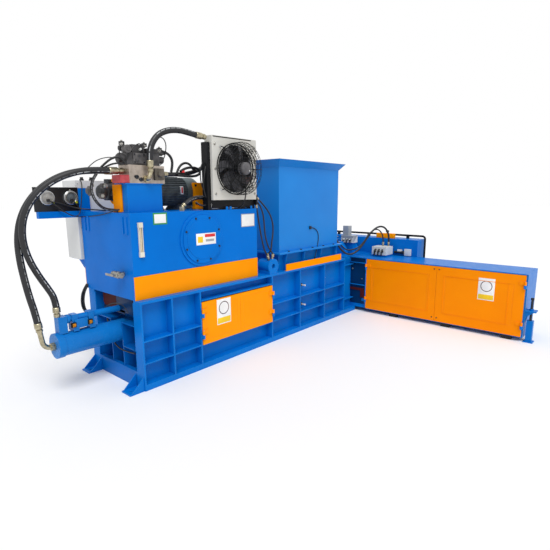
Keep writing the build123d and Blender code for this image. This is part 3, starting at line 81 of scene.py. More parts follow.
class Slot(Enum):
    """Names of material slots, passed to each piece as it is finished."""

    BLUE = "blue_paint"
    ORANGE = "orange_paint"
    DOOR_ORANGE = "door_orange_paint"
    BLACK = "black_paint"
    STEEL = "machined_steel"
    MOTOR = "motor_grey"
    PLATED = "plated_fittings"
    HOSE = "hose_rubber"
    BRASS = "brass"
    BOX = "box_plastic"
    GAUGE = "gauge_metal"


def linear(colour: str) -> Colour:
    """Turns an sRGB hex colour into the linear values that shaders take.

    Args:
        colour: Six hex digits after a hash sign.

    Returns:
        Linear red, green and blue with an alpha of 1.
    """
    parts = [int(colour[k : k + 2], 16) / 255 for k in (1, 3, 5)]
    values = [c / 12.92 if c <= 0.04045 else ((c + 0.055) / 1.055) ** 2.4 for c in parts]
    return (values[0], values[1], values[2], 1.0)


def per_mm(size: float) -> float:
    """Returns the texture scale at which one feature is that many millimetres."""
    return 1.0 / (size * MM)


def add_node(tree: bpy.types.NodeTree, kind: str, settings: dict | None = None,
             links: dict | None = None) -> bpy.types.Node:
    """Adds one shader node with its settings, values and links.

    Args:
        tree: The node tree that takes the node.
        kind: The node's type name.
        settings: Properties of the node itself.
        links: Input sockets by name or number, each with a value or a (node, output) pair.

    Returns:
        The new node.
    """
    node = tree.nodes.new(kind)
    for key, value in (settings or {}).items():
        setattr(node, key, value)
    for key, value in (links or {}).items():
        if isinstance(value, tuple) and len(value) == 2 and isinstance(value[0], bpy.types.Node):
            tree.links.new(value[0].outputs[value[1]], node.inputs[key])
        else:
            node.inputs[key].default_value = value
    return node


@dataclass(frozen=True)
class Look:
    """One material's node tree, with the steps that the finishes share. Sizes are in millimetres."""

    tree: bpy.types.NodeTree
    shader: bpy.types.Node
    place: bpy.types.Node

    def noise(self, size: float, detail: float, **more: float) -> Source:
        """Adds noise with grains of a size, fixed to the object."""
        links = {"Vector": (self.place, "Object"), "Scale": per_mm(size), "Detail": detail, **more}
        return add_node(self.tree, "ShaderNodeTexNoise", links=links), "Fac"

    def remap(self, source: Source, seen: Span, given: Span) -> Source:
        """Spreads the values seen between two levels over the range given."""
        links = {"Value": source, "From Min": seen[0], "From Max": seen[1],
                 "To Min": given[0], "To Max": given[1]}
        return add_node(self.tree, "ShaderNodeMapRange", links=links), "Result"

    def maths(self, operation: str, *values: Source | float) -> Source:
        """Adds one step of arithmetic."""
        return add_node(self.tree, "ShaderNodeMath", {"operation": operation}, dict(enumerate(values))), "Value"

    def blend(self, factor: Source, first: Source | Colour, second: Colour) -> Source:
        """Blends one colour into another."""
        return add_node(self.tree, "ShaderNodeMix", {"data_type": "RGBA"}, {0: factor, 6: first, 7: second}), MIXED

    def round_edges(self, width: float) -> Source:
        """Adds a normal that rounds the edges over a width."""
        return add_node(self.tree, "ShaderNodeBevel", {"samples": 4}, {"Radius": width * MM}), "Normal"

    def join(self, source: Source, socket: str) -> None:
        """Leads a source into the shader."""
        self.tree.links.new(source[0].outputs[source[1]], self.shader.inputs[socket])

    def bump(self, height: Source, strength: float, depth: float, edges: Source | None = None) -> None:
        """Adds relief to the surface, on rounded edges where they are given."""
        links = {"Height": height, "Strength": strength, "Distance": depth * MM}
        if edges is not None:
            links["Normal"] = edges
        self.join((add_node(self.tree, "ShaderNodeBump", links=links), "Normal"), "Normal")

    def patches(self, noise: Source, seen: Span, most: float, colours: tuple[str, str]) -> None:
        """Colours the surface in patches, up to a share of the second colour."""
        share = self.remap(noise, seen, (0.0, most))
        self.join(self.blend(share, linear(colours[0]), linear(colours[1])), "Base Color")


@dataclass(frozen=True)
class Finish:
    """A surface: what it is made of and how it was made.

    The base class is a plain matt coating. Each kind of surface adds its own texture.
    """

    name: str
    colour: str
    roughness: float = 0.5
    metallic: float = 0.0

    def material(self) -> bpy.types.Material:
        """Returns this finish's material, made the first time it is asked for."""
        known = bpy.data.materials.get(self.name)
        if known is not None:
            return known
        made = bpy.data.materials.new(self.name)
        made.use_nodes = True
        tree = made.node_tree
        tree.nodes.clear()
        shader = add_node(tree, "ShaderNodeBsdfPrincipled")
        shader.inputs["Roughness"].default_value = self.roughness
        shader.inputs["Metallic"].default_value = self.metallic
        shader.inputs["Base Color"].default_value = linear(self.colour)
        self.texture(Look(tree, shader, add_node(tree, "ShaderNodeTexCoord")))
        add_node(tree, "ShaderNodeOutputMaterial", links={"Surface": (shader, "BSDF")})
        made.diffuse_color = linear(self.colour)
        return made

    def texture(self, look: Look) -> None:
        """Adds a fine grain to the surface."""
        look.bump(look.noise(4.0, 3.0), 0.08, 0.4)


@dataclass(frozen=True)
class SprayedEnamel(Finish):
    """Two-pack enamel sprayed on welded plate.

    The eye sees a wet gloss with slight orange peel and cloudy film thickness; edges are paler, partly rubbed paint
    where plates are cut and partly a painted highlight; inner corners are darkened with painted shade.
    """

    roughness: float = 0.34
    # deep: a darker blend colour, for tone that varies at random and for the painted shade in inner corners.
    deep: str = "#0458A8"
    # edge: a paler colour along edges, partly rubbed paint and partly a painted highlight.
    edge: str = "#5FAEEA"
    peel: float = 9.0
    cloud: float = 420.0
    edge_wear_and_highlight: float = 0.55
    edge_width: float = 3.0
    shine: float = 0.13
    coat: float = 0.02

    def texture(self, look: Look) -> None:
        """Adds cloudy colour, orange peel, pale edges of rubbed paint and painted highlight, and painted shade in
        inner corners.
        """
        cloud = look.remap(look.noise(self.cloud, 3.0, Roughness=0.55), (0.32, 0.72), (0.0, 0.42))
        body = look.blend(cloud, linear(self.colour), linear(self.deep))
        edges = look.round_edges(self.edge_width)
        # Paler edges, partly rubbed paint and partly a painted highlight: where the rounded normal tilts from the
        # face normal, the edge colour is blended in, broken by flecks.
        surface = add_node(look.tree, "ShaderNodeNewGeometry")
        same = add_node(look.tree, "ShaderNodeVectorMath", {"operation": "DOT_PRODUCT"}, {
            0: edges, 1: (surface, "Normal")})
        wear_and_highlight_mask = look.remap((same, "Value"), (0.985, 0.90), (0.0, self.edge_wear_and_highlight))
        fleck = look.noise(55.0, 4.0, Roughness=0.7)
        broken = look.remap(fleck, (0.36, 0.6), (0.35, 1.0))
        edged = look.blend(look.maths("MULTIPLY", wear_and_highlight_mask, broken), body, linear(self.edge))
        # Painted shade: inner corners darken towards the deep colour by ambient occlusion.
        corner = add_node(look.tree, "ShaderNodeAmbientOcclusion", {"samples": 4}, {"Distance": 0.09})
        corner_shade = look.remap((corner, "AO"), (0.25, 0.85), (0.42, 0.0))
        look.join(look.blend(corner_shade, edged, linear(self.deep)), "Base Color")
        look.join(look.remap(fleck, (0.3, 0.7), (self.roughness - 0.06, self.roughness + 0.08)), "Roughness")
        look.bump(look.noise(self.peel, 2.0), 0.10, 0.5, edges)
        look.shader.inputs["Specular IOR Level"].default_value = self.shine
        look.shader.inputs["Coat Weight"].default_value = self.coat
        look.shader.inputs["Coat Roughness"].default_value = 0.16


@dataclass(frozen=True)
class MilledSteel(Finish):
    """Bare steel block, face milled.

    The eye sees fine parallel cutter marks, a warm oily tint and softly rounded edges.
    """

    metallic: float = 0.85
    roughness: float = 0.42
    stain: str = "#6E655B"
    mark: float = 3.0

    def texture(self, look: Look) -> None:
        """Adds cutter marks and oil stains."""
        look.patches(look.noise(70.0, 4.0, Roughness=0.6), (0.35, 0.7), 0.75, (self.colour, self.stain))
        marks = add_node(look.tree, "ShaderNodeTexWave", {"wave_type": "BANDS", "bands_direction": "Z"}, {
            "Vector": (look.place, "Object"), "Scale": WAVE_TURN * per_mm(self.mark), "Distortion": 1.5,
            "Detail": 2.0})
        look.bump((marks, "Fac"), 0.12, 0.2, look.round_edges(1.5))


@dataclass(frozen=True)
class PlatedSteel(Finish):
    """Turned steel with a thin bright plating.

    The eye sees a mirror-like metal broken by lathe rings too fine to count, drawn at 2 mm.
    """

    metallic: float = 1.0
    roughness: float = 0.24
    tarnish: str = "#A79C7A"

    def texture(self, look: Look) -> None:
        """Adds a patchy tarnish and a faint grain."""
        look.patches(look.noise(26.0, 3.0), (0.35, 0.7), 0.7, (self.colour, self.tarnish))
        look.bump(look.noise(2.0, 1.0), 0.1, 0.1)


@dataclass(frozen=True)
class CastIron(Finish):
    """Sand-cast iron under a thin coat of paint.

    The eye sees a pebbled skin with 3 mm grains and dull highlights.
    """

    roughness: float = 0.55
    light: str = "#4A4D50"
    grain: float = 3.5

    def texture(self, look: Look) -> None:
        """Adds the casting's pebbled skin and uneven coat."""
        look.patches(look.noise(60.0, 4.0), (0.4, 0.75), 0.8, (self.colour, self.light))
        look.bump(look.noise(self.grain, 2.0), 0.25, 0.6, look.round_edges(2.0))


@dataclass(frozen=True)
class BraidedRubber(Finish):
    """Wrapped rubber hose cover with a dashed lay line.

    The eye sees matt black rubber, a cloth imprint drawn at 5 mm so that it shows,
    and short pale dashes of print along one side.
    """

    roughness: float = 0.5
    dashes: float = 30.0
    line: float = 0.93
    print_colour: str = "#C2C5C7"

    def texture(self, look: Look) -> None:
        """Adds the cloth imprint and the dashed line."""
        split = add_node(look.tree, "ShaderNodeSeparateXYZ", links={"Vector": (look.place, "UV")})
        phase = look.maths("FRACT", look.maths("MULTIPLY", (split, "X"), self.dashes))
        across = look.maths("COMPARE", (split, "Y"), self.line, 0.017)
        mark = look.maths("MULTIPLY", look.maths("LESS_THAN", phase, 0.78), across)
        kept = look.remap(look.noise(90.0, 3.0), (0.42, 0.56), (0.12, 0.95))
        faded = look.maths("MULTIPLY", mark, kept)
        look.join(look.blend(faded, linear(self.colour), linear(self.print_colour)), "Base Color")
        cloth = add_node(look.tree, "ShaderNodeTexVoronoi", links={
            "Vector": (look.place, "Object"), "Scale": per_mm(5.0)})
        look.bump((cloth, "Distance"), 0.2, 0.4)


@dataclass(frozen=True)
class MouldedPlastic(Finish):
    """Injection-moulded plastic with a fine spark-eroded texture.

    The eye sees an even tone with soft highlights and rounded edges.
    """

    roughness: float = 0.45
    grain: float = 1.5

    def texture(self, look: Look) -> None:
        """Adds the mould's texture and a slight tone change."""
        value = look.remap(look.noise(120.0, 2.0), (0.3, 0.7), (0.92, 1.06))
        body = add_node(look.tree, "ShaderNodeHueSaturation", links={"Color": linear(self.colour), "Value": value})
        look.join((body, "Color"), "Base Color")
        look.bump(look.noise(self.grain, 1.0), 0.06, 0.1, look.round_edges(1.5))


BLUE = SprayedEnamel("blue sprayed enamel", "#0076D0", deep="#005EB0", edge="#58ACE6", shine=0.10)
TANK_BLUE = SprayedEnamel("blue enamel on tank plate", "#0072D2", deep="#0060B8", edge="#4AA2E2", edge_wear_and_highlight=0.4,
                          shine=0.06, coat=0.0)
# A lighter copy of the blue enamel: painted light over the whole hopper, which also gets a glossier coat.
LIT_HOPPER_BLUE = SprayedEnamel("glossy blue enamel on hopper", "#1482D6", deep="#0068BE", edge="#68B4EA",
                            cloud=760.0, shine=0.2)
# A darker copy of the blue enamel: painted shade on the inner plates, the ram head and the side pusher.
SHADED_INNER_BLUE = SprayedEnamel("blue sprayed enamel inner plates", "#0068BE", deep="#004C92", edge="#4A9AD8", edge_wear_and_highlight=0.4)
# Painted shade: a dark blue that stands for the shade deep in recesses, on plates put where there is only shade.
PAINTED_SHADE_BLUE = SprayedEnamel("blue enamel in the deep recess", "#053563", deep="#022244", edge="#0F5698", edge_wear_and_highlight=0.3)
CYLINDER_BLUE = SprayedEnamel("blue enamel on honed tube", "#1378C8", deep="#0058A4", roughness=0.24, cloud=260.0)
ORANGE = SprayedEnamel("orange sprayed enamel", "#FF9C00", deep="#F08400", edge="#FFBE50", edge_wear_and_highlight=0.35, shine=0.06)
DOOR_ORANGE = SprayedEnamel("orange enamel on pressed doors", "#FF9200", deep="#F48000", edge="#FFB452", edge_wear_and_highlight=0.35,
                            shine=0.05)
CABINET_GREY = SprayedEnamel("pale grey enamel on folded sheet", "#DDDEDE", deep="#C6C8C7", edge="#F2F3F2", edge_wear_and_highlight=0.3)
COOLER_GREY = SprayedEnamel("pale grey stove enamel", "#D3D2CC", deep="#B8B6AE", edge="#F0EFEA", edge_wear_and_highlight=0.3)
BLACK = SprayedEnamel("black enamel on brackets", "#17181B", deep="#0B0C0E", edge="#55585C", edge_wear_and_highlight=0.35, roughness=0.4)
WIRE_BLACK = SprayedEnamel("black enamel on guard wire", "#1B1C1E", deep="#101113", edge="#3A3C3F", edge_wear_and_highlight=0.2)
# Red oxide primer, darkened below its own colour as painted shade for the shadowed places it sits in.
SHADED_PRIMER = SprayedEnamel("red oxide primer", "#551B19", deep="#380F0E", edge="#7C3A30", roughness=0.62, edge_wear_and_highlight=0.3)
STEEL = MilledSteel("milled manifold steel", "#BBAFA4", stain="#8C8177", metallic=0.7)
BOLT_STEEL = MilledSteel("blackened bolt steel", "#3C3F45", stain="#22252A", roughness=0.38)
BRIGHT_STEEL = MilledSteel("turned bright steel", "#C9CBCC", stain="#94979A", roughness=0.28)
CHROME = PlatedSteel("hard chromed rod", "#D8DBDD", roughness=0.12, tarnish="#B9BDC1")
PLATED = PlatedSteel("zinc plated fitting", "#BDB498", tarnish="#827A66", roughness=0.36)
NICKEL = PlatedSteel("nickel plated fitting", "#A9A8A2", tarnish="#6E6C66", roughness=0.34)
GOLD_ZINC = PlatedSteel("gold zinc clamp head", "#E39B32", tarnish="#A86B1D", roughness=0.34)
BRASS = PlatedSteel("machined brass", "#C9A55A", tarnish="#8E7238", roughness=0.3)
MOTOR_IRON = CastIron("dark cast motor frame", "#40464A", light="#6C757A")
MOTOR_COWL = CastIron("grey-green pressed motor cowl", "#465254", light="#68767A", grain=2.0)
FAN_MOTOR = CastIron("grey fan motor shell", "#4B4A4D", light="#6A696C", grain=1.5)
CAST_SILVER = CastIron("unpainted cast fitting", "#8B8984", light="#B5B3AD", grain=2.0)
PUMP_IRON = CastIron("dark cast pump body", "#25272A", light="#4C5054")
VALVE_IRON = CastIron("dark valve casting", "#333234", light="#5C5A5B", grain=2.0)
VALVE_FACE = CastIron("phosphated valve cover", "#4C4A4B", light="#6E6B6A", grain=2.0)
CORE_DARK = CastIron("dark finned cooler core", "#26272A", light="#3A3B3E", grain=3.0)
WORN_IRON = CastIron("oily brown valve cover", "#4B453D", light="#6E665B", grain=2.0)
RED_BLOCK = CastIron("red painted valve block", "#A53038", light="#C9565A", grain=2.0)
HOSE = BraidedRubber("wrapped hose rubber", "#15161A")
THIN_HOSE = BraidedRubber("thin hose rubber", "#121316", dashes=0.0, print_colour="#121316")
CABLE = MouldedPlastic("black cable sheath", "#101114", roughness=0.42)
PAD = MouldedPlastic("black block rubber", "#0E0F11", roughness=0.7)
BOX_PLASTIC = MouldedPlastic("pale grey box plastic", "#D9DBD8")
BLACK_PLASTIC = MouldedPlastic("black glass-filled plastic", "#141518", roughness=0.4)
FAN_PLASTIC = MouldedPlastic("black moulded fan plastic", "#36363B", roughness=0.32)
PANEL_BLACK = MouldedPlastic("black panel lacquer", "#101113", roughness=0.3)
WHITE_FILM = MouldedPlastic("white plate film", "#EDEFEF", roughness=0.35)
YELLOW_FILM = MouldedPlastic("yellow plate film", "#F0C800", roughness=0.35)
RED_FILM = MouldedPlastic("red plate film", "#D8232A", roughness=0.35)
RING_FILM = MouldedPlastic("dark ring print", "#4A2A30", roughness=0.35)
GREEN_FILM = MouldedPlastic("green plate film", "#1E8A4C", roughness=0.35)
GREY_FILM = MouldedPlastic("grey plate film", "#9AA0A6", roughness=0.35)
IVORY = MouldedPlastic("ivory gauge housing", "#DEDACB")
SIGHT_TUBE = MouldedPlastic("sight tube acrylic", "#CDBFA6", roughness=0.12)
CAP_YELLOW = MouldedPlastic("yellow port cap", "#C9CC2E", roughness=0.4)
FLOOR = Finish("pale studio floor", "#F9F9F9", roughness=0.9)


def at(x: float, y: float, z: float) -> Vector:
    """Turns layout millimetres, X from the rear end plane, into the frame's metres."""
    return Vector(((x - ORIGIN_X) * MM, y * MM, z * MM))


def place(name: str, data: bpy.types.ID) -> bpy.types.Object:
    """Puts a new object with its data into the scene."""
    made = bpy.data.objects.new(name, data)
    bpy.context.scene.collection.objects.link(made)
    return made


def link(name: str, data: bpy.types.ID, body: Body) -> bpy.types.Object:
    """Puts a mesh or curve into the scene on the body that it rides on.

    Args:
        name: The piece's name.
        data: Its mesh or curve.
        body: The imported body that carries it.

    Returns:
        The new object.
    """
    made = place(name, data)
    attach(made, body.value)
    log.info("piece %s on %s", name, body.value)
    return made


class Piece:
    """A mesh put together from blocks, turned forms and bent wires in layout millimetres."""

    def __init__(self, name: str) -> None:
        """Starts an empty piece."""
        self.name = name
        self.form = bmesh.new()

    def block(self, low: Point, high: Point, edge: float = 1.0, tone: int = 0) -> "Piece":
        """Adds a block with rounded edges.

        Args:
            low: Its lowest corner.
            high: Its highest corner.
            edge: The radius of its edges.
            tone: The number of its finish.

        Returns:
            The piece itself.
        """
        a, b = at(*low), at(*high)
        spot = Matrix.Translation((a + b) / 2) @ Matrix.Diagonal((*(b - a), 1.0))
        earlier = set(self.form.faces)
        corners = bmesh.ops.create_cube(self.form, size=1.0, matrix=spot)["verts"]
        edges = list(dict.fromkeys(e for v in corners for e in v.link_edges))
        width = min(edge * MM, min(b - a) * WIDEST_EDGE)
        bmesh.ops.bevel(self.form, geom=edges, offset=width, segments=2, profile=0.6, affect="EDGES")
        for face in set(self.form.faces) - earlier:
            face.material_index = tone
        return self

    def ring(self, base: Vector, turn: Matrix, radius: float, height: float, sides: int) -> Ring:
        """Adds a ring of corners round an axis, or a single one where the radius is 0."""
        angles = [math.tau * k / sides for k in range(sides if radius else 1)]
        return [self.form.verts.new(base + turn @ Vector((
            radius * MM * math.cos(a), radius * MM * math.sin(a), height * MM))) for a in angles]

    def skin(self, rings: list[Ring], sides: int, tone: int) -> None:
        """Joins each ring of corners to the next one with faces."""
        for low, high in zip(rings, rings[1:]):
            for k in range(sides):
                n = (k + 1) % sides
                corners = [low[k % len(low)], low[n % len(low)], high[n % len(high)], high[k % len(high)]]
                loop = list(dict.fromkeys(corners))
                if len(loop) > 2:
                    self.form.faces.new(loop).material_index = tone

    def turned(self, start: Point, axis: Point, profile: list[Span], sides: int = 24, tone: int = 0) -> "Piece":
        """Adds a form of revolution, or a prism where the sides are few.

        Args:
            start: Where its axis begins.
            axis: The direction of its axis.
            profile: Radius and height pairs along the axis.
            sides: How many sides the round has.
            tone: The number of its finish.

        Returns:
            The piece itself.
        """
        turn = Vector(axis).normalized().to_track_quat("Z", "Y").to_matrix()
        base = at(*start)
        self.skin([self.ring(base, turn, radius, height, sides) for radius, height in profile], sides, tone)
        return self

    def plug(self, start: Point, axis: Point, rim: list[Span], sides: int = 24, tone: int = 0) -> "Piece":
        """Adds a turned form that is closed by flat ends at the rim's first and last heights."""
        return self.turned(start, axis, [(0, rim[0][1]), *rim, (0, rim[-1][1])], sides, tone)

    def bolt(self, start: Point, axis: Point, across: float, tone: int = 0) -> "Piece":
        """Adds a hexagon head with its washer, as wide across corners as given."""
        r = across / 2
        self.plug(start, axis, [(r * 1.25, 0), (r * 1.25, r * 0.2)], 20, tone)
        return self.plug(start, axis, [(r, r * 0.2), (r, r * 0.8), (r * 0.86, r * 0.95)], 6, tone)

    def wire(self, points: list[Point], radius: float, sides: int = 10, tone: int = 0) -> "Piece":
        """Adds a bent round bar through the points, with flat ends."""
        path = [at(*p) for p in points]
        rings = []
        for k, here in enumerate(path):
            before, after = path[max(k - 1, 0)], path[min(k + 1, len(path) - 1)]
            turn = (after - before).normalized().to_track_quat("Z", "Y").to_matrix()
            rings.append(self.ring(here, turn, radius, 0, sides))
        self.skin(rings, sides, tone)
        for end in (rings[0][::-1], rings[-1]):
            self.form.faces.new(end).material_index = tone
        return self

    def sign(self, face: float, along_y: bool, across: Span, up: Span, depth: float) -> "Piece":
        """Adds a plain sign plate with a colour field below and a ring above, as the doors carry.

        Args:
            face: The plane that it lies on.
            along_y: Whether it faces along X, with its width along Y.
            across: Its two upright edges.
            up: Its lower and upper edges.
            depth: How far its colour field stands out.

        Returns:
            The piece itself.
        """
        def spot(side: float, out: float, z: float) -> Point:
            return (face - out, side, z) if along_y else (side, face - out, z)

        (a, b), (z0, z1) = across, up
        side_gap, foot_gap, field, line, rise = 8, 10, 64, 9, 0.8
        outer = 0.36 * (b - a)
        low, inner, middle = z0 + foot_gap, outer - line, spot((a + b) / 2, 1, z0 + 0.64 * (z1 - z0))
        self.block(spot(a, PLATE, z0), spot(b, 0, z1), 0.4)
        self.block(spot(a + side_gap, depth, low), spot(b - side_gap, 1, low + field), 0.2, 1)
        return self.turned(middle, REAR if along_y else NEAR,
                           [(outer, 0), (outer, rise), (inner, rise), (inner, 0)], 40, 2)

    def done(self, finishes: list[Finish], slot: Slot, body: Body = Body.FRAME) -> None:
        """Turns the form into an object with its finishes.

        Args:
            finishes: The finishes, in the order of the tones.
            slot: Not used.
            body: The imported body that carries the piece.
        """
        bmesh.ops.recalc_face_normals(self.form, faces=self.form.faces)
        mesh = bpy.data.meshes.new(self.name)
        self.form.to_mesh(mesh)
        self.form.free()
        mesh.shade_smooth()
        mesh.set_sharp_from_angle(angle=SHARP)
        for finish in finishes:
            mesh.materials.append(finish.material())
        link(self.name, mesh, body)


@dataclass(frozen=True)
class HoseRun:
    """One hose or cable from exit to far end.

    Its radius and length are in metres, its route in layout millimetres.
    """

    name: str
    radius: float
    length: float
    route: tuple[Point, ...]
    finish: Finish = CABLE
    node: str = ""
    stiffness: str = "medium"
    lay: str = "loose"
    line: float = 0.93

    def build(self) -> None:
        curve = bpy.data.curves.new(self.name, "CURVE")
        curve.dimensions = "3D"
        line = curve.splines.new("NURBS")
        line.points.add(len(self.route) - 1)
        points = [at(*p) for p in self.route]
        for knot, point in zip(line.points, points):
            knot.co = (*point, 1.0)
        line.order_u = 3
        line.use_endpoint_u = True
        curve.resolution_u = 10
        curve.bevel_depth = self.radius
        curve.bevel_resolution = 5
        curve.use_fill_caps = True
        finish = self.finish
        if isinstance(finish, BraidedRubber) and finish.dashes:
            dashes = round(self.length / DASH_PITCH)
            finish = replace(finish, name=f"{finish.name} {dashes} dashes", dashes=float(dashes), line=self.line)
        curve.materials.append(finish.material())
        made = link(self.name, curve, Body.FRAME)
        if self.node:
            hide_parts(self.node)


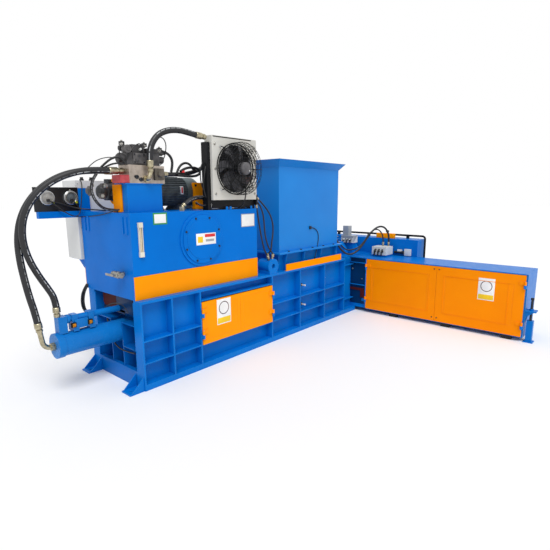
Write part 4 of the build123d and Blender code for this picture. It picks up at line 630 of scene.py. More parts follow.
HOSES = (
    HoseRun("main_hose_rod_side", 0.029, 1.727, (
        (-30, -160, 2052), (-178, -158, 2052), (-345, -138, 2026), (-505, -100, 1955), (-640, -62, 1838),
        (-728, -30, 1682), (-755, -10, 1500), (-722, 0, 1318), (-655, 0, 1158), (-586, 0, 1030), (-543, 0, 940),
        (-536, 0, 853),
    ), HOSE, "hose_rod_side", "stiff", line=0.86),
    HoseRun("main_hose_cap_side", 0.029, 1.829, (
        (-30, -76, 2052), (-180, -70, 2050), (-346, -44, 2022), (-500, -8, 1946), (-630, 28, 1825), (-722, 52, 1665),
        (-764, 60, 1485), (-768, 50, 1300), (-756, 30, 1130), (-738, 12, 970), (-716, 2, 850), (-703, 0, 745),
    ), HOSE, "hose_cap_side", "stiff", line=0.86),
    HoseRun("cooler_feed_hose", 0.029, 0.692, (
        (315, -300, 2150), (316, -301, 2232), (352, -305, 2325), (418, -312, 2398), (510, -322, 2438),
        (610, -334, 2452), (715, -346, 2443), (820, -358, 2423),
    ), HOSE, "hose_cooler_in", "stiff", line=0.43),
    HoseRun("cooler_return_hose", 0.022, 0.268, (
        (976, -264, 1803), (895, -264, 1803), (832, -263, 1794), (775, -261, 1770), (725, -259, 1733),
    ), HOSE, "hose_cooler_out"),
    HoseRun("second_pump_hose", 0.022, 1.507, (
        (590, -170, 2036), (680, -170, 2037), (790, -168, 2044), (910, -160, 2064), (1030, -142, 2100),
        (1145, -112, 2150), (1255, -68, 2210), (1355, -5, 2268), (1440, 70, 2315), (1508, 150, 2338),
        (1548, 240, 2326), (1560, 320, 2276), (1562, 375, 2205), (1562, 400, 2125), (1562, 400, 2050),
    ), HOSE, "hose_main_return"),
    HoseRun("ejector_hose", 0.014, 1.376, (
        (3478, -340, 1140), (3500, -362, 1055), (3540, -400, 985), (3595, -440, 932), (3665, -485, 912),
        (3745, -535, 948), (3830, -585, 1040), (3895, -632, 1160), (3955, -682, 1268), (4050, -735, 1335),
        (4160, -775, 1325), (4235, -802, 1255), (4262, -817, 1165), (4262, -817, 1079),
    ), THIN_HOSE, "hose_far_loop"),
    HoseRun("second_ejector_hose", 0.010, 1.133, (
        (3512, -330, 1126), (3573, -365, 1061), (3657, -405, 978), (3739, -445, 973), (3866, -495, 996),
        (3951, -550, 1088), (3989, -595, 1198), (4061, -640, 1274), (4130, -690, 1287), (4192, -730, 1222),
        (4213, -746, 1126), (4205, -749, 1079),
    ), THIN_HOSE),
    HoseRun("hopper_sensor_cable", 0.005, 0.542, (
        (2726, -410, 1383), (2796, -410, 1375), (2881, -410, 1325), (2909, -410, 1252), (2897, -410, 1154),
        (2863, -410, 1058), (2828, -410, 963),
    )),
    HoseRun("gauge_tube_long", 0.006, 0.560, (
        (-324, 470, 1785), (-319, 452, 1776), (-292, 449, 1770), (-226, 455, 1756), (-144, 455, 1729),
        (-66, 445, 1705), (2, 405, 1694), (96, 385, 1686), (200, 380, 1675),
    ), THIN_HOSE),
    HoseRun("gauge_tube_drop", 0.005, 0.682, (
        (-300, 470, 1770), (-289, 455, 1757), (-237, 440, 1707), (-174, 430, 1655), (-114, 430, 1626),
        (-57, 430, 1633), (-31, 440, 1717), (-12, 450, 1806), (11, 470, 1915), (26, 500, 1965), (22, 528, 1991),
    ), THIN_HOSE),
    HoseRun("gauge_tube_short", 0.005, 0.117, (
        (-80, 470, 1770), (-65, 462, 1745), (-32, 470, 1713), (-25, 478, 1671),
    ), THIN_HOSE),
    HoseRun("tank_edge_cable", 0.004, 0.814, (
        (-250, 452, 1690), (-190, 425, 1672), (-163, 425, 1646), (-67, 425, 1617), (5, 425, 1622), (-4, 279, 1627),
        (-4, 35, 1652), (-4, -130, 1683),
    )),
    HoseRun("pump_loop_hose", 0.013, 0.543, (
        (-156, -180, 2018), (-185, -178, 1981), (-204, -170, 1929), (-201, -150, 1873), (-175, -130, 1808),
        (-124, -110, 1749), (-67, -95, 1711), (5, -85, 1696), (88, -118, 1689),
    ), HOSE),
    HoseRun("left_coil_lead", 0.005, 0.169, (
        (65, -200, 2168), (64, -200, 2216), (73, -200, 2269), (92, -195, 2301), (118, -172, 2304),
    )),
    HoseRun("valve_lead_arch", 0.005, 0.406, (
        (106, -232, 2124), (117, -236, 2169), (152, -245, 2228), (207, -245, 2285), (253, -245, 2304),
        (276, -245, 2273), (284, -242, 2210), (283, -240, 2142),
    )),
    HoseRun("right_coil_lead", 0.005, 0.412, (
        (432, -262, 2377), (499, -230, 2386), (560, -200, 2364), (582, -190, 2310), (567, -190, 2232),
        (532, -195, 2167), (493, -205, 2120),
    )),
    HoseRun("valve_drain_hose", 0.013, 0.277, (
        (527, -185, 2254), (583, -180, 2250), (644, -175, 2208), (665, -170, 2141), (642, -168, 2061),
    ), HOSE),
    HoseRun("motor_cable_coil", 0.012, 0.352, (
        (690, -190, 2039), (712, -190, 2093), (759, -190, 2143), (817, -190, 2161), (874, -190, 2142),
        (905, -190, 2090), (958, -190, 2077),
    )),
    HoseRun("motor_cable_lay", 0.013, 0.589, (
        (724, -210, 2067), (776, -210, 2098), (854, -210, 2114), (925, -210, 2112), (976, -210, 2092),
        (982, -210, 2055), (936, -208, 2030), (868, -206, 2022), (790, -206, 2022), (692, -203, 2028),
    )),
    HoseRun("thin_top_cable", 0.004, 0.299, (
        (-208, -140, 2070), (-154, -140, 2120), (-92, -150, 2152), (-31, -170, 2167), (15, -190, 2165),
        (48, -214, 2162),
    )),
    HoseRun("valve_feed_tube", 0.010, 0.271, (
        (-88, -140, 2078), (-44, -170, 2129), (0, -200, 2163), (45, -225, 2173), (81, -235, 2145), (98, -245, 2110),
    ), THIN_HOSE),
    HoseRun("valve_feed_tube_low", 0.008, 0.205, (
        (-60, -140, 2076), (-22, -170, 2101), (7, -215, 2113), (60, -225, 2118), (104, -235, 2114),
    ), THIN_HOSE),
    HoseRun("fan_cable", 0.007, 0.425, (
        (1322, -528, 2046), (1334, -545, 1968), (1342, -540, 1890), (1356, -520, 1816), (1372, -480, 1745),
        (1370, -440, 1700), (1363, -396, 1683),
    )),
    HoseRun("cooler_lead_back", 0.006, 0.299, (
        (928, -330, 2158), (917, -335, 2155), (894, -335, 2124), (883, -335, 2063), (882, -335, 1992),
        (898, -330, 1932), (926, -322, 1884),
    )),
    HoseRun("cooler_lead_front", 0.006, 0.325, (
        (925, -372, 2119), (901, -380, 2052), (885, -380, 1971), (878, -380, 1890), (916, -372, 1806),
    )),
    HoseRun("tank_top_coil", 0.010, 0.362, (
        (856, -277, 1757), (875, -320, 1720), (940, -340, 1719), (998, -345, 1755), (993, -340, 1802),
        (924, -315, 1817), (855, -292, 1807),
    )),
    HoseRun("cabinet_supply_cable", 0.011, 0.392, (
        (-5, 512, 910), (-51, 512, 853), (-76, 512, 771), (-79, 508, 685), (-58, 500, 622), (-8, 492, 556),
    )),
    HoseRun("cabinet_control_cable", 0.009, 0.373, (
        (5, 500, 910), (-36, 500, 852), (-60, 500, 770), (-62, 498, 684), (-46, 492, 627), (-4, 476, 568),
    )),
    HoseRun("cross_member_cable", 0.007, 0.499, (
        (62, 293, 685), (60, 180, 735), (60, 60, 768), (60, -60, 768), (60, -140, 742), (60, -171, 701),
    )),
    HoseRun("floor_lead", 0.007, 0.671, (
        (34, 206, 586), (-6, 94, 448), (-10, -11, 356), (-10, -159, 329), (-10, -361, 353),
    )),
    HoseRun("deck_hose_left", 0.009, 0.612, (
        (1655, -400, 1690), (1668, -402, 1610), (1690, -406, 1480), (1713, -412, 1355), (1734, -420, 1245),
        (1761, -430, 1146), (1796, -440, 1101),
    ), THIN_HOSE),
    HoseRun("deck_hose_right", 0.009, 0.721, (
        (1660, -385, 1765), (1712, -396, 1712), (1758, -402, 1624), (1775, -406, 1516), (1778, -410, 1410),
        (1795, -418, 1288), (1837, -428, 1175), (1898, -440, 1108),
    ), THIN_HOSE),
    HoseRun("deck_hose_wide", 0.009, 0.808, (
        (1668, -400, 1790), (1790, -402, 1700), (1894, -406, 1585), (1934, -410, 1474), (1924, -418, 1352),
        (1884, -428, 1245), (1862, -438, 1136), (1852, -392, 1114),
    ), THIN_HOSE),
)


@dataclass
class Assembly:
    """A group of CAD nodes with their finishes, and the small pieces fitted to them."""

    finishes: dict[str, Finish] = field(default_factory=dict)

    def dress(self) -> None:
        """Gives each CAD node its finish."""
        for name, finish in self.finishes.items():
            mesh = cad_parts[name].data
            mesh.materials.clear()
            mesh.materials.append(finish.material())
            mesh.polygons.foreach_set("material_index", [0] * len(mesh.polygons))
            log.info("node %s: %s", name, finish.name)

    def tone(self, node: str, finish: Finish, low: Point, high: Point) -> None:
        """Gives another finish to the faces of a node whose middles lie in a box.

        Args:
            node: The CAD node.
            finish: The finish for these faces.
            low: The box's lowest corner in layout millimetres.
            high: Its highest corner.
        """
        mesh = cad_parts[node].data
        mesh.materials.append(finish.material())
        index = len(mesh.materials) - 1
        a, b = at(*low), at(*high)
        for face in mesh.polygons:
            if all(a[k] <= face.center[k] <= b[k] for k in range(3)):
                face.material_index = index

    def fit(self) -> None:
        """Adds the pieces that the CAD leaves out."""

    def build(self) -> None:
        """Dresses the nodes, then fits the pieces."""
        self.dress()
        self.fit()


@dataclass
class Studio:
    """Pale floor, soft light and the photograph's viewpoint, in the frame's metres."""

    eye: Point = (-4.381, -3.893, 1.830)
    yaw: float = 49.024
    pitch: float = 10.663
    roll: float = -0.294
    lens: float = 27.97
    sensor: float = 36.0
    floor_half: float = 60.0
    fill: float = 0.62
    key: float = 1.9
    key_soft: float = 32.0
    key_from: Point = (-0.42, -0.62, 1.0)

    def build(self) -> None:
        """Sets up camera, world, lamp, floor and the view transform."""
        self.camera()
        self.world()
        self.lamp()
        self.floor()
        bpy.context.scene.view_settings.view_transform = "Standard"

    def camera(self) -> None:
        """Places the camera where the photograph was taken from."""
        yaw, pitch, roll = (math.radians(a) for a in (self.yaw, self.pitch, self.roll))
        ahead = Vector((math.sin(yaw) * math.cos(pitch), math.cos(yaw) * math.cos(pitch), -math.sin(pitch)))
        level = Vector((math.cos(yaw), -math.sin(yaw), 0.0))
        upright = level.cross(ahead)
        right = math.cos(roll) * level + math.sin(roll) * upright
        up = math.cos(roll) * upright - math.sin(roll) * level
        data = bpy.data.cameras.new("viewpoint")
        data.lens = self.lens
        data.sensor_width = self.sensor
        data.clip_end = 200.0
        camera = place("viewpoint", data)
        turn = Matrix((right, up, -ahead)).transposed()
        camera.matrix_world = Matrix.Translation(self.eye) @ turn.to_4x4()
        bpy.context.scene.camera = camera

    def world(self) -> None:
        """Lights all round evenly, and shows white to the eye and in reflections."""
        world = bpy.data.worlds.new("studio")
        world.use_nodes = True
        tree = world.node_tree
        tree.nodes.clear()
        path = add_node(tree, "ShaderNodeLightPath")
        seen = add_node(tree, "ShaderNodeMath", {"operation": "MAXIMUM"}, {
            0: (path, "Is Camera Ray"), 1: (path, "Is Glossy Ray")})
        white = add_node(tree, "ShaderNodeMath", {"operation": "MAXIMUM"}, {
            0: (seen, "Value"), 1: (path, "Is Transmission Ray")})
        strength = add_node(tree, "ShaderNodeMapRange", links={
            "Value": (white, "Value"), "To Min": self.fill, "To Max": 1.0})
        sky = add_node(tree, "ShaderNodeBackground", links={
            "Color": (1.0, 1.0, 1.0, 1.0), "Strength": (strength, "Result")})
        add_node(tree, "ShaderNodeOutputWorld", links={"Surface": (sky, "Background")})
        bpy.context.scene.world = world

    def lamp(self) -> None:
        """Hangs one large soft lamp over the left shoulder."""
        data = bpy.data.lights.new("key", "SUN")
        data.energy = self.key
        data.angle = math.radians(self.key_soft)
        place("key", data).rotation_euler = Vector(self.key_from).to_track_quat("Z", "Y").to_euler()

    def floor(self) -> None:
        """Lays the pale floor."""
        form, half = bmesh.new(), self.floor_half
        form.faces.new([form.verts.new((x, y, 0.0))
                        for x, y in ((-half, -half), (half, -half), (half, half), (-half, half))])
        mesh = bpy.data.meshes.new("floor")
        form.to_mesh(mesh)
        form.free()
        mesh.materials.append(FLOOR.material())
        place("floor", mesh)


@dataclass
class PressBody(Assembly):
    """Walls, floor, deck, end wall, feet and the doors of the press body."""

    leaf_face: float = -500.0
    sign_x: Span = (907.0, 1110.0)
    sign_z: Span = (440.0, 720.0)
    recess: float = -390.0
    stub_x: float = 2506.0
    stub_levels: tuple[float, ...] = (349.0, 618.0)
    hook_x: float = 2990.0
    hook_levels: tuple[float, ...] = (373.0, 631.0)

    def fit(self) -> None:
        """Adds the leaf's sign plate, grease stubs, hooks and a dark plate of painted shade behind the rear end."""
        sign = Piece("leaf_sign_plate").sign(self.leaf_face, False, self.sign_x, self.sign_z, 1.7)
        sign.done([WHITE_FILM, YELLOW_FILM, RING_FILM], Slot.BOX, Body.LEFT_LEAF)
        stubs = Piece("grease_stubs")
        for z in self.stub_levels:
            stubs.plug((self.stub_x, self.recess, z), NEAR, [(21, 0), (21, 34), (12, 38)], 16)
            stubs.plug((self.stub_x, self.recess - 36, z), NEAR,
                       [(9, 0), (9, 44), (12, 46), (12, 58)], 16, 1)
        stubs.done([BLACK_PLASTIC, BOX_PLASTIC], Slot.BOX)
        hooks = Piece("cable_hooks")
        for level in self.hook_levels:
            hooks.wire([(self.hook_x, y, level + rise) for y, rise in (
                (self.recess, 0), (-450, 0), (-468, 6), (-474, 24), (-470, 40))], 8)
        hooks.done([BOX_PLASTIC], Slot.STEEL)
        # Painted shade: dark blue plates put behind the rear end where there is only shade.
        shade = Piece("rear_painted_shade_plate").block((56.5, -262, 690), (59.5, 40, 880), 0.5)
        shade.block((56.5, -118, 676), (59.5, 300, 714), 0.5).done([PAINTED_SHADE_BLUE], Slot.BLUE)


@dataclass
class Hopper(Assembly):
    """Hopper, its curb, the orange sill and the sensor on its near side."""

    face: float = -403.0

    def fit(self) -> None:
        """Adds the level sensor that the cable leads to, and the cable's gland in the curb."""
        sensor = Piece("hopper_level_sensor").block((2690, self.face - 22, 1362), (2722, self.face, 1404), 3)
        sensor.plug((2722, self.face - 7, 1383), AHEAD, [(8, 0), (8, 5), (6, 8)], 16)
        sensor.done([BLACK_PLASTIC], Slot.BLACK)
        gland = Piece("sensor_cable_gland")
        gland.plug((2828, -410, 905), UP, [(11, 0), (11, 30), (8, 34), (8, 58)], 16)
        gland.block((2806, -432, 870), (2850, -390, 906), 2)
        gland.done([BLACK_PLASTIC], Slot.BLACK)


@dataclass
class PowerPack(Assembly):
    """Oil tank with its fittings, manifold, valves, motors and pumps."""

    tank_face: float = -413.0
    cover_face: float = -438.0
    cowl_spans: tuple[tuple[Point, Point], ...] = (
        ((940.0, -60.0, 1690.0), (1140.0, 254.0, 2050.0)), ((550.0, 256.0, 1690.0), (751.0, 560.0, 2050.0)))
    dial_stations: tuple[float, ...] = (-324.0, -100.0)
    dial_z: float = 1808.0
    dial_y: float = 487.0

    def dress(self) -> None:
        """Gives the finishes, then tells cowls, blocks, bosses and glass apart."""
        super().dress()
        for low, high in self.cowl_spans:
            self.tone("electric_motors", MOTOR_COWL, low, high)
        self.tone("manifold_block", RED_BLOCK, (20, -260, 1930), (121, -90, 2020))
        self.tone("valve_stack", WORN_IRON, (380, -330, 1950), (540, -249, 2080))
        self.tone("level_gauge", SIGHT_TUBE, (80, -436, 1318), (100, -404, 1540))

    def fit(self) -> None:
        """Adds plates, gauge backs, channel ridges, plugs, lids, bell feet and the pump's fittings."""
        self.plates()
        self.gauge_backs()
        self.side_ridges()
        self.plugs()
        self.terminal_lids()
        self.motor_plate()
        self.bell_feet()
        self.pump_fittings()

    def plates(self) -> None:
        """Adds the plain colour plates where the tank carries its notices."""
        y = self.tank_face
        top = Piece("tank_edge_plate").block((236, y - PLATE, 1556), (393, y, 1668), 0.4)
        top.block((250, y - 1.8, 1570), (379, y - 1, 1654), 0.2, 1)
        top.done([GREEN_FILM, WHITE_FILM], Slot.BOX)
        side = Piece("tank_side_plate").block((1384, y - PLATE, 1468), (1601, y, 1616), 0.4)
        side.block((1392, y - 1.6, 1476), (1593, y - 1, 1608), 0.2, 1)
        side.done([GREY_FILM, WHITE_FILM], Slot.BOX)
        y = self.cover_face
        cover = Piece("manhole_plate").block((714, y - PLATE, 1322), (976, y, 1440), 0.4)
        cover.block((734, y - 1.8, 1346), (800, y - 1, 1408), 0.2, 1)
        cover.block((828, y - 1.8, 1398), (966, y - 1, 1430), 0.2, 2)
        cover.block((838, y - 1.8, 1352), (950, y - 1, 1376), 0.2, 3)
        cover.done([WHITE_FILM, YELLOW_FILM, RED_FILM, GREY_FILM], Slot.BOX)

    def gauge_backs(self) -> None:
        """Adds the pressed back, stem and capped port of each gauge, which faces away."""
        kinds = zip(self.dial_stations, (CAST_SILVER, NICKEL), (CAST_SILVER, MOTOR_IRON))
        y, z = self.dial_y, self.dial_z
        for k, (x, rim, dish) in enumerate(kinds):
            back = Piece(f"gauge_back_{k + 1}")
            back.turned((x, y, z), NEAR, [(46, 0), (59, 0), (59, 6), (56, 9), (50, 9), (46, 5)], 40)
            back.turned((x, y, z), NEAR, [(46, 4), (20, 7), (18, 9), (0, 9)], 40, 3)
            back.plug((x, y + 12, z + 68), UP, [(6, 0), (6, 12), (4, 15)], 12)
            back.block((x - 14, y - 26, z - 36), (x + 14, y - 4, z - 10), 3, 1)
            back.plug((x + 40, y - 6, z - 44), (0.2, -1, 0), [(10, 0), (10, 16)], 12, 2)
            back.done([rim, BLACK_PLASTIC, CAP_YELLOW, dish], Slot.GAUGE)

    def side_ridges(self) -> None:
        """Adds the second ridge of each lifting channel on the tank's rear side."""
        ridges = Piece("lifting_channel_ridges").block((-9, -300, 1478), (0.5, -288, 1636), 2)
        ridges.block((-4, -332, 1478), (0.5, -300, 1486), 1)
        ridges.block((-9, 426, 1480), (0.5, 438, 1628), 2)
        ridges.done([TANK_BLUE], Slot.BLUE)

    def plugs(self) -> None:
        """Adds the coils' plugs, the near valve's cover and the block's port plugs."""
        plugs = Piece("coil_plugs")
        for x, z in ((118, 2288), (352, 2288), (520, 2258)):
            plugs.block((x - 20, -176, z - 4), (x + 20, -138, z + 30), 3)
            plugs.plug((x, -157, z + 30), UP, [(10, 0), (10, 8), (7, 12)], 16, 1)
            plugs.plug((x - 26, -190, z - 6), (0, -1, 0.4), [(15, 0), (15, 12), (9, 16), (9, 26)], 16, 1)
        plugs.done([BLACK_PLASTIC, CAST_SILVER], Slot.BLACK)
        cover = Piece("valve_cover").block((176, -246, 2120), (296, -233, 2216), 10)
        cover.plug((236, -246, 2192), NEAR, [(13, 0), (13, 5), (8, 7)], 20, 1)
        cover.plug((214, -246, 2150), NEAR, [(17, 0), (17, 8), (10, 12)], 24, 1)
        for x, z in ((188, 2132), (284, 2132), (188, 2204), (284, 2204)):
            cover.plug((x, -246, z), NEAR, [(7, 0), (7, 7), (4, 8), (4, 4)], 12, 2)
        cover.plug((128, -190, 2246), NEAR, [(38, 0), (38, 52), (33, 58), (14, 58), (14, 66)], 28)
        cover.plug((262, -214, 2246), (0, -1, 0.3), [(11, 0), (11, 30), (8, 34)], 16, 3)
        cover.done([VALVE_FACE, VALVE_IRON, BOLT_STEEL, BOX_PLASTIC], Slot.BLACK)
        ports = Piece("block_port_plugs")
        for x, z in ((196, 1998), (238, 1975)):
            ports.plug((x, -250, z), NEAR, [(19, 0), (19, 9), (16, 11), (9, 11), (9, 5)], 20)
        ports.done([BOLT_STEEL], Slot.STEEL)

    def terminal_lids(self) -> None:
        """Adds lids and screws to the motors' terminal boxes."""
        lids = Piece("terminal_box_lids")
        for x, y, z in ((641, 110, 2060), (1035, 400, 2030)):
            lids.block((x - 64, y - 54, z), (x + 64, y + 54, z + 8), 2)
            for sx in (-52, 52):
                for sy in (-42, 42):
                    lids.plug((x + sx, y + sy, z + 8), UP, [(5, 0), (5, 3)], 12, 1)
        lids.done([MOTOR_IRON, BRIGHT_STEEL], Slot.MOTOR)

    def bell_feet(self) -> None:
        """Adds the square orange feet that carry the bells on the tank."""
        feet = Piece("bell_feet").block((74, -165, 1674), (88, -12, 1930), 3)
        feet.block((60, -150, 1674), (76, -20, 1690), 3)
        feet.block((1008, -72, 1700), (1172, -24, 1964), 5)
        feet.block((1008, -90, 1674), (1172, -20, 1702), 3)
        for x, z in ((1026, 1740), (1154, 1740), (1026, 1934), (1154, 1934)):
            feet.bolt((x, -72, z), NEAR, 22, 1)
        feet.done([ORANGE, BOLT_STEEL], Slot.ORANGE)

    def pump_fittings(self) -> None:
        """Adds the cast flange, port blocks and plugs on the near pump."""
        pump = Piece("pump_fittings")
        pump.plug((-96, 92, 1872), REAR, [(46, 0), (46, 10), (26, 14), (26, 30)], 24)
        pump.block((-40, -36, 1896), (20, -4, 1940), 4)
        pump.plug((-12, -36, 1918), NEAR, [(20, 0), (20, 22), (14, 26), (14, 40)], 16, 1)
        pump.block((-60, -24, 1800), (-6, 8, 1850), 4)
        pump.plug((-30, -20, 1826), (-0.6, -1, 0), [(17, 0), (17, 24)], 6, 1)
        for z in (1820, 1924):
            pump.bolt((-84, 40, z), REAR, 24, 1)
        pump.done([VALVE_FACE, NICKEL], Slot.PLATED)

    def motor_plate(self) -> None:
        """Adds the bare plate on the near motor's frame and the tag on its coiled cable."""
        plate = Piece("motor_plate").block((846, -44, 1838), (880, -24, 1924), 1)
        plate.block((854, -45.4, 1850), (872, -43, 1912), 0.4, 1)
        plate.done([WHITE_FILM, RED_FILM], Slot.MOTOR)
        tag = Piece("coil_cable_tag").block((740, -222, 2056), (772, -200, 2080), 3)
        tag.block((766, -220, 2062), (778, -202, 2074), 2, 1)
        tag.done([RED_FILM, WHITE_FILM], Slot.BOX)


@dataclass
class CoolerSet(Assembly):
    """Oil cooler, fan, guard, stand and the small hose bulkhead beside it."""

    face: float = -412.0
    fan: Span = (1313.5, 2105.5)
    rings: tuple[Span, ...] = (
        (277, -450), (277, -490), (277, -530), (272, -553), (244, -562), (212, -566), (180, -568), (148, -568),
        (116, -568), (84, -566))
    rib: tuple[Span, ...] = (
        (277, -424), (277, -532), (270, -554), (248, -562), (200, -568), (140, -569), (70, -560))

    def dress(self) -> None:
        """Gives the finishes, then the dark core behind the fan."""
        super().dress()
        self.tone("oil_cooler", CORE_DARK, (1020, -410, 1810), (1608, -319, 2400))

    def fit(self) -> None:
        """Adds screws, the top strip, the foot angle, guard clips, the hose bulkhead and the basket."""
        screws = Piece("cooler_flange_screws")
        for z in (1842, 2100, 2352):
            for x in (1020, 1612):
                screws.plug((x, self.face, z), NEAR, [(15, 0), (15, 3), (10, 9)], 16)
        screws.done([NICKEL], Slot.STEEL)
        strip = Piece("cooler_top_strip").block((1000, self.face - 3, 2421), (1560, self.face + 12, 2431), 2)
        strip.done([BLACK], Slot.BLACK)
        Piece("cooler_foot_angle").block((990, -379, 1688), (1600, -373, 1742), 1).done([BLACK], Slot.BLACK)
        clips = Piece("guard_clips")
        for k in range(4):
            turn = math.radians(45 + 90 * k)
            (x, z), across = self.fan, (math.cos(turn), math.sin(turn))
            clips.wire([(x + r * across[0], y, z + r * across[1])
                        for r, y in ((276, -470), (296, -466), (312, -446), (312, -418))], 5)
            clips.bolt((x + 312 * across[0], self.face - 5, z + 312 * across[1]), NEAR, 17, 1)
        clips.done([BLACK, BRIGHT_STEEL], Slot.BLACK)
        Piece("hose_bulkhead").block((1636, -412, 1712), (1662, -372, 1830), 2).done([BLACK], Slot.BLACK)
        ends = Piece("bulkhead_hose_ends")
        union = [(13, 0), (13, 14), (10, 17), (13, 20), (13, 38)]
        for start, axis in (((1650, -400, 1714), (0.16, -0.02, -1)), ((1652, -384, 1776), (0.7, -0.15, -0.7)),
                            ((1655, -400, 1801), (0.8, 0, -0.6))):
            ends.plug(start, axis, union, 16)
        ends.done([PLATED], Slot.PLATED)
        self.basket()

    def basket(self) -> None:
        """Adds the outer wire basket over the guard, and the fan motor's cap."""
        x, z = self.fan
        wires = Piece("guard_basket")
        for radius, y in self.rings:
            wires.wire([(x + radius * math.cos(math.tau * k / 48), y, z + radius * math.sin(math.tau * k / 48))
                        for k in range(49)], 2.4, 6)
        for k in range(24):
            angle = math.tau * k / 24
            wires.wire([(x + r * math.cos(angle), y, z + r * math.sin(angle)) for r, y in self.rib], 2.0, 6)
        wires.done([WIRE_BLACK], Slot.BLACK)
        cap = Piece("fan_motor_cap")
        cap.turned((x, self.face - 97, z), NEAR,
                   [(0, 0), (64, 0), (68, 4), (68, 66), (62, 78), (48, 86), (0, 88)], 32)
        cap.plug((x + 34, self.face - 180, z - 26), NEAR, [(9, 0), (9, 6), (6, 9)], 12, 1)
        cap.done([FAN_MOTOR, BRIGHT_STEEL], Slot.MOTOR)


@dataclass
class SwitchCabinet(Assembly):
    """Switch cabinet and its door."""

    back: float = 540.0

    def dress(self) -> None:
        """Gives the finishes, then the black knobs on the cabinet's top."""
        super().dress()
        self.tone("cabinet", BLACK_PLASTIC, (-60, 560, 1983), (600, 660, 2060))

    def fit(self) -> None:
        """Adds the back's screws."""
        screws = Piece("cabinet_back_screws")
        for z in (1500, 1950):
            for x in (0, 545):
                screws.plug((x, self.back, z), NEAR, [(7, 0), (7, 2), (4, 5)], 12)
        screws.done([BRIGHT_STEEL], Slot.STEEL)


@dataclass
class EjectorBox(Assembly):
    """Side-push box with its doors, junction boxes and the fittings on top."""

    door_face: float = 3809.0
    seam: float = -1772.0
    bolt_levels: Span = (118.0, 806.0)
    sign_y: Span = (-2519.0, -2320.0)
    sign_z: Span = (469.0, 757.0)

    def fit(self) -> None:
        """Adds the door's sign plate, seam bolts, wall cover, screws, recess, roof fittings and beads."""
        x = self.door_face
        sign = Piece("box_door_sign_plate").sign(x, True, self.sign_y, self.sign_z, 1.8)
        sign.done([WHITE_FILM, YELLOW_FILM, RING_FILM], Slot.BOX, Body.OUTER_DOOR)
        for body, side in ((Body.INNER_DOOR, 1), (Body.OUTER_DOOR, -1)):
            bolts = Piece(f"{body.value}_bolts")
            for z in self.bolt_levels:
                bolts.bolt((x, self.seam + side * 34, z), REAR, 15)
            bolts.done([BOLT_STEEL], Slot.STEEL, body)
        cover = Piece("wall_top_cover").block((4396, -827, 1122), (4474, -525, 1200), 6)
        cover.turned((4435, -703, 1200), UP, [
            (0, 0), (14, 0), (14, 16), (26, 22), (28, 40), (20, 48), (0, 50)], 24, 1)
        cover.done([ORANGE, BLACK_PLASTIC], Slot.ORANGE)
        lids = Piece("junction_box_screws")
        for bx, by in ((4078, -862), (4272, -862), (4078, -648), (4272, -648)):
            lids.plug((bx, by, 1015), UP, [(8, 0), (8, 3)], 12)
        lids.done([BOLT_STEEL], Slot.STEEL)
        self.recess()
        self.roof_fittings()
        self.panel_beads()

    def dress(self) -> None:
        """Gives the finishes, then the black glands and switch of the junction boxes."""
        super().dress()
        self.tone("junction_boxes", BLACK_PLASTIC, (4020, -860, 900), (4059, -560, 1010))
        self.tone("junction_boxes", BLACK_PLASTIC, (3960, -330, 900), (4009, -80, 1100))
        self.tone("junction_boxes", GREY_FILM, (4000, -330, 1098), (4160, -80, 1300))
        self.tone("levelling_leg", BOLT_STEEL, (3868, -2962, 300), (3912, -2912, 600))

    def recess(self) -> None:
        """Adds a dark back plate of painted shade, the primed bar and the small fittings seen beside the inner door.
        """
        # Painted shade: the back plate is a dark blue sheet that stands for the shade deep in the recess.
        recess = Piece("box_end_recess").block((3831, -684, 118), (3834, -398, 850), 0.5)
        recess.block((3812, -690, 118), (3834, -664, 850), 2, 1)
        for z in (426, 776):
            recess.block((3800, -664, z - 4), (3834, -398, z + 4), 1, 1)
        recess.block((3816, -650, 334), (3832, -402, 372), 2, 2)
        recess.block((3814, -655, 226), (3832, -588, 336), 2, 2)
        recess.block((3812, -655, 168), (3832, -616, 212), 2, 1)
        recess.bolt((3831, -430, 668), REAR, 24, 3)
        recess.bolt((3831, -600, 520), REAR, 20, 3)
        recess.done([PAINTED_SHADE_BLUE, BLUE, SHADED_PRIMER, NICKEL], Slot.BLUE)

    def roof_fittings(self) -> None:
        """Adds the gland elbows of the junction boxes and the sensor bracket by the end wall."""
        elbows = Piece("gland_elbows")
        for y in (-820, -762, -704):
            elbows.wire([(x, y, z) for x, z in (
                (4060, 972), (4040, 974), (4026, 968), (4018, 952), (4014, 925), (4012, 884))], 11)
        for y in (-282, -214, -146):
            elbows.wire([(x, y, z) for x, z in (
                (4010, 1100), (3992, 1102), (3980, 1094), (3974, 1076), (3972, 1046))], 10)
        elbows.done([CABLE], Slot.HOSE)
        bracket = Piece("end_wall_sensor").block((4340, -1150, 872), (4378, -1046, 976), 3)
        bracket.plug((4352, -1046, 916), FAR, [(26, 0), (26, 60), (16, 66), (16, 132), (22, 134), (22, 168)],
                       20, 1)
        bracket.block((4338, -1006, 930), (4366, -930, 962), 3)
        bracket.done([BOX_PLASTIC, BLACK_PLASTIC], Slot.BOX)

    def panel_beads(self) -> None:
        """Adds the pressed bead round each door's inner panel."""
        x = self.door_face
        for body, (y0, y1) in ((Body.INNER_DOOR, (-1676, -774)), (Body.OUTER_DOOR, (-2680, -1868))):
            bead = Piece(f"{body.value}_bead")
            for z in (196, 718):
                bead.block((x - 3, y0, z), (x + 1, y1, z + 7), 1.4)
            for y in (y0, y1 - 7):
                bead.block((x - 3, y, 196), (x + 1, y + 7, 725), 1.4)
            bead.done([DOOR_ORANGE], Slot.DOOR_ORANGE, body)


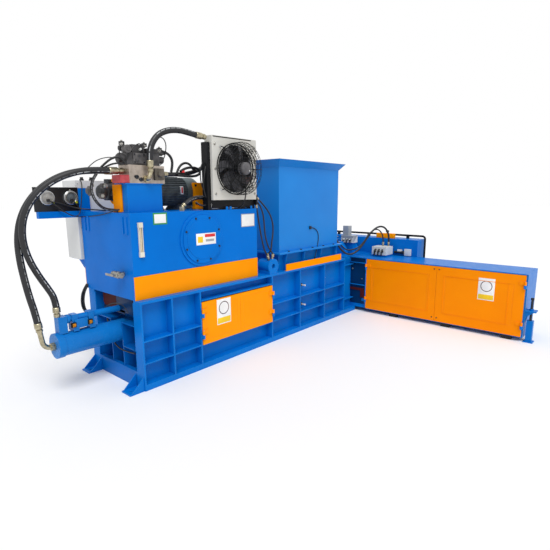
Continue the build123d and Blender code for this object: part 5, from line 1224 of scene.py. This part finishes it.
@dataclass
class CylinderSet(Assembly):
    """Main cylinder with its pipe and saddles, rods and ram."""

    gland_x: float = 245.0
    axis_z: float = 500.0

    def fit(self) -> None:
        """Adds the flange bolts and the saddles' clamp plates and gold nuts."""
        screws = Piece("flange_bolts")
        for k in range(12):
            angle = math.tau * (k + 0.5) / 12
            y, z = 140 * math.cos(angle), self.axis_z + 140 * math.sin(angle)
            screws.bolt((self.gland_x, y, z), AHEAD, 26)
        screws.done([BOLT_STEEL], Slot.STEEL)
        clamps = Piece("saddle_clamp_nuts")
        for x in (-420, -266):
            clamps.block((x - 24, -58, 646), (x + 24, -44, 692), 2)
            clamps.block((x - 15, -70, 654), (x + 15, -54, 686), 3, 1)
            clamps.bolt((x, -70, 670), NEAR, 20, 1)
        clamps.block((-404, -50, 630), (-284, 36, 714), 3, 2)
        clamps.done([BLACK, GOLD_ZINC, CYLINDER_BLUE], Slot.BRASS)


def main() -> None:
    """Builds the studio, the hoses and each assembly in turn."""
    Studio().build()
    for hose in HOSES:
        hose.build()
    PressBody({
        "near_side_wall": BLUE, "far_side_wall": BLUE, "floor_frame": BLUE, "rear_end_frame": SHADED_INNER_BLUE,
        "anchor_feet": BLUE, "primer_cross_member": SHADED_PRIMER, "top_deck": BLUE, "chamber_roof": BLUE,
        "end_wall": BLUE, "outlet_door": BLUE, "door_hinges": BLUE, "left_access_leaf": ORANGE,
        "right_access_leaf": ORANGE, "wall_pipe": BLACK,
    }).build()
    Hopper({"hopper": LIT_HOPPER_BLUE, "hopper_curb": BLUE, "orange_trim": ORANGE}).build()
    PowerPack({
        "oil_tank": TANK_BLUE, "manhole_cover": TANK_BLUE, "cover_bolts": BOLT_STEEL, "level_gauge": IVORY,
        "drain_valve": NICKEL, "drain_lever": CAST_SILVER, "manifold_stand": BLUE, "manifold_block": STEEL,
        "valve_stack": VALVE_IRON, "electric_motors": MOTOR_IRON, "bell_housings": ORANGE, "pumps": PUMP_IRON,
        "gauge_panel": PANEL_BLACK, "pressure_gauges": BRIGHT_STEEL, "hose_fittings": PLATED,
        "distributor": BLUE,
    }).build()
    CoolerSet({
        "oil_cooler": COOLER_GREY, "cooler_stand": BLACK, "fan_guard": WIRE_BLACK, "fan_wheel": FAN_PLASTIC,
    }).build()
    SwitchCabinet({"cabinet": CABINET_GREY, "cabinet_door": CABINET_GREY}).build()
    EjectorBox({
        "ejector_frame": BLUE, "ejector_roof": BLUE, "inner_box_door": DOOR_ORANGE, "outer_box_door": DOOR_ORANGE,
        "levelling_leg": BLUE, "floor_pads": PAD, "junction_boxes": BOX_PLASTIC,
    }).build()
    CylinderSet({
        "main_cylinder": CYLINDER_BLUE, "cylinder_pipe": CYLINDER_BLUE, "pipe_clamps": CYLINDER_BLUE,
        "main_rod": CHROME, "ram_head": SHADED_INNER_BLUE, "side_cylinder": BLACK, "side_rod": CHROME,
        "side_pusher": SHADED_INNER_BLUE,
    }).build()


if __name__ == "__main__":
    main()
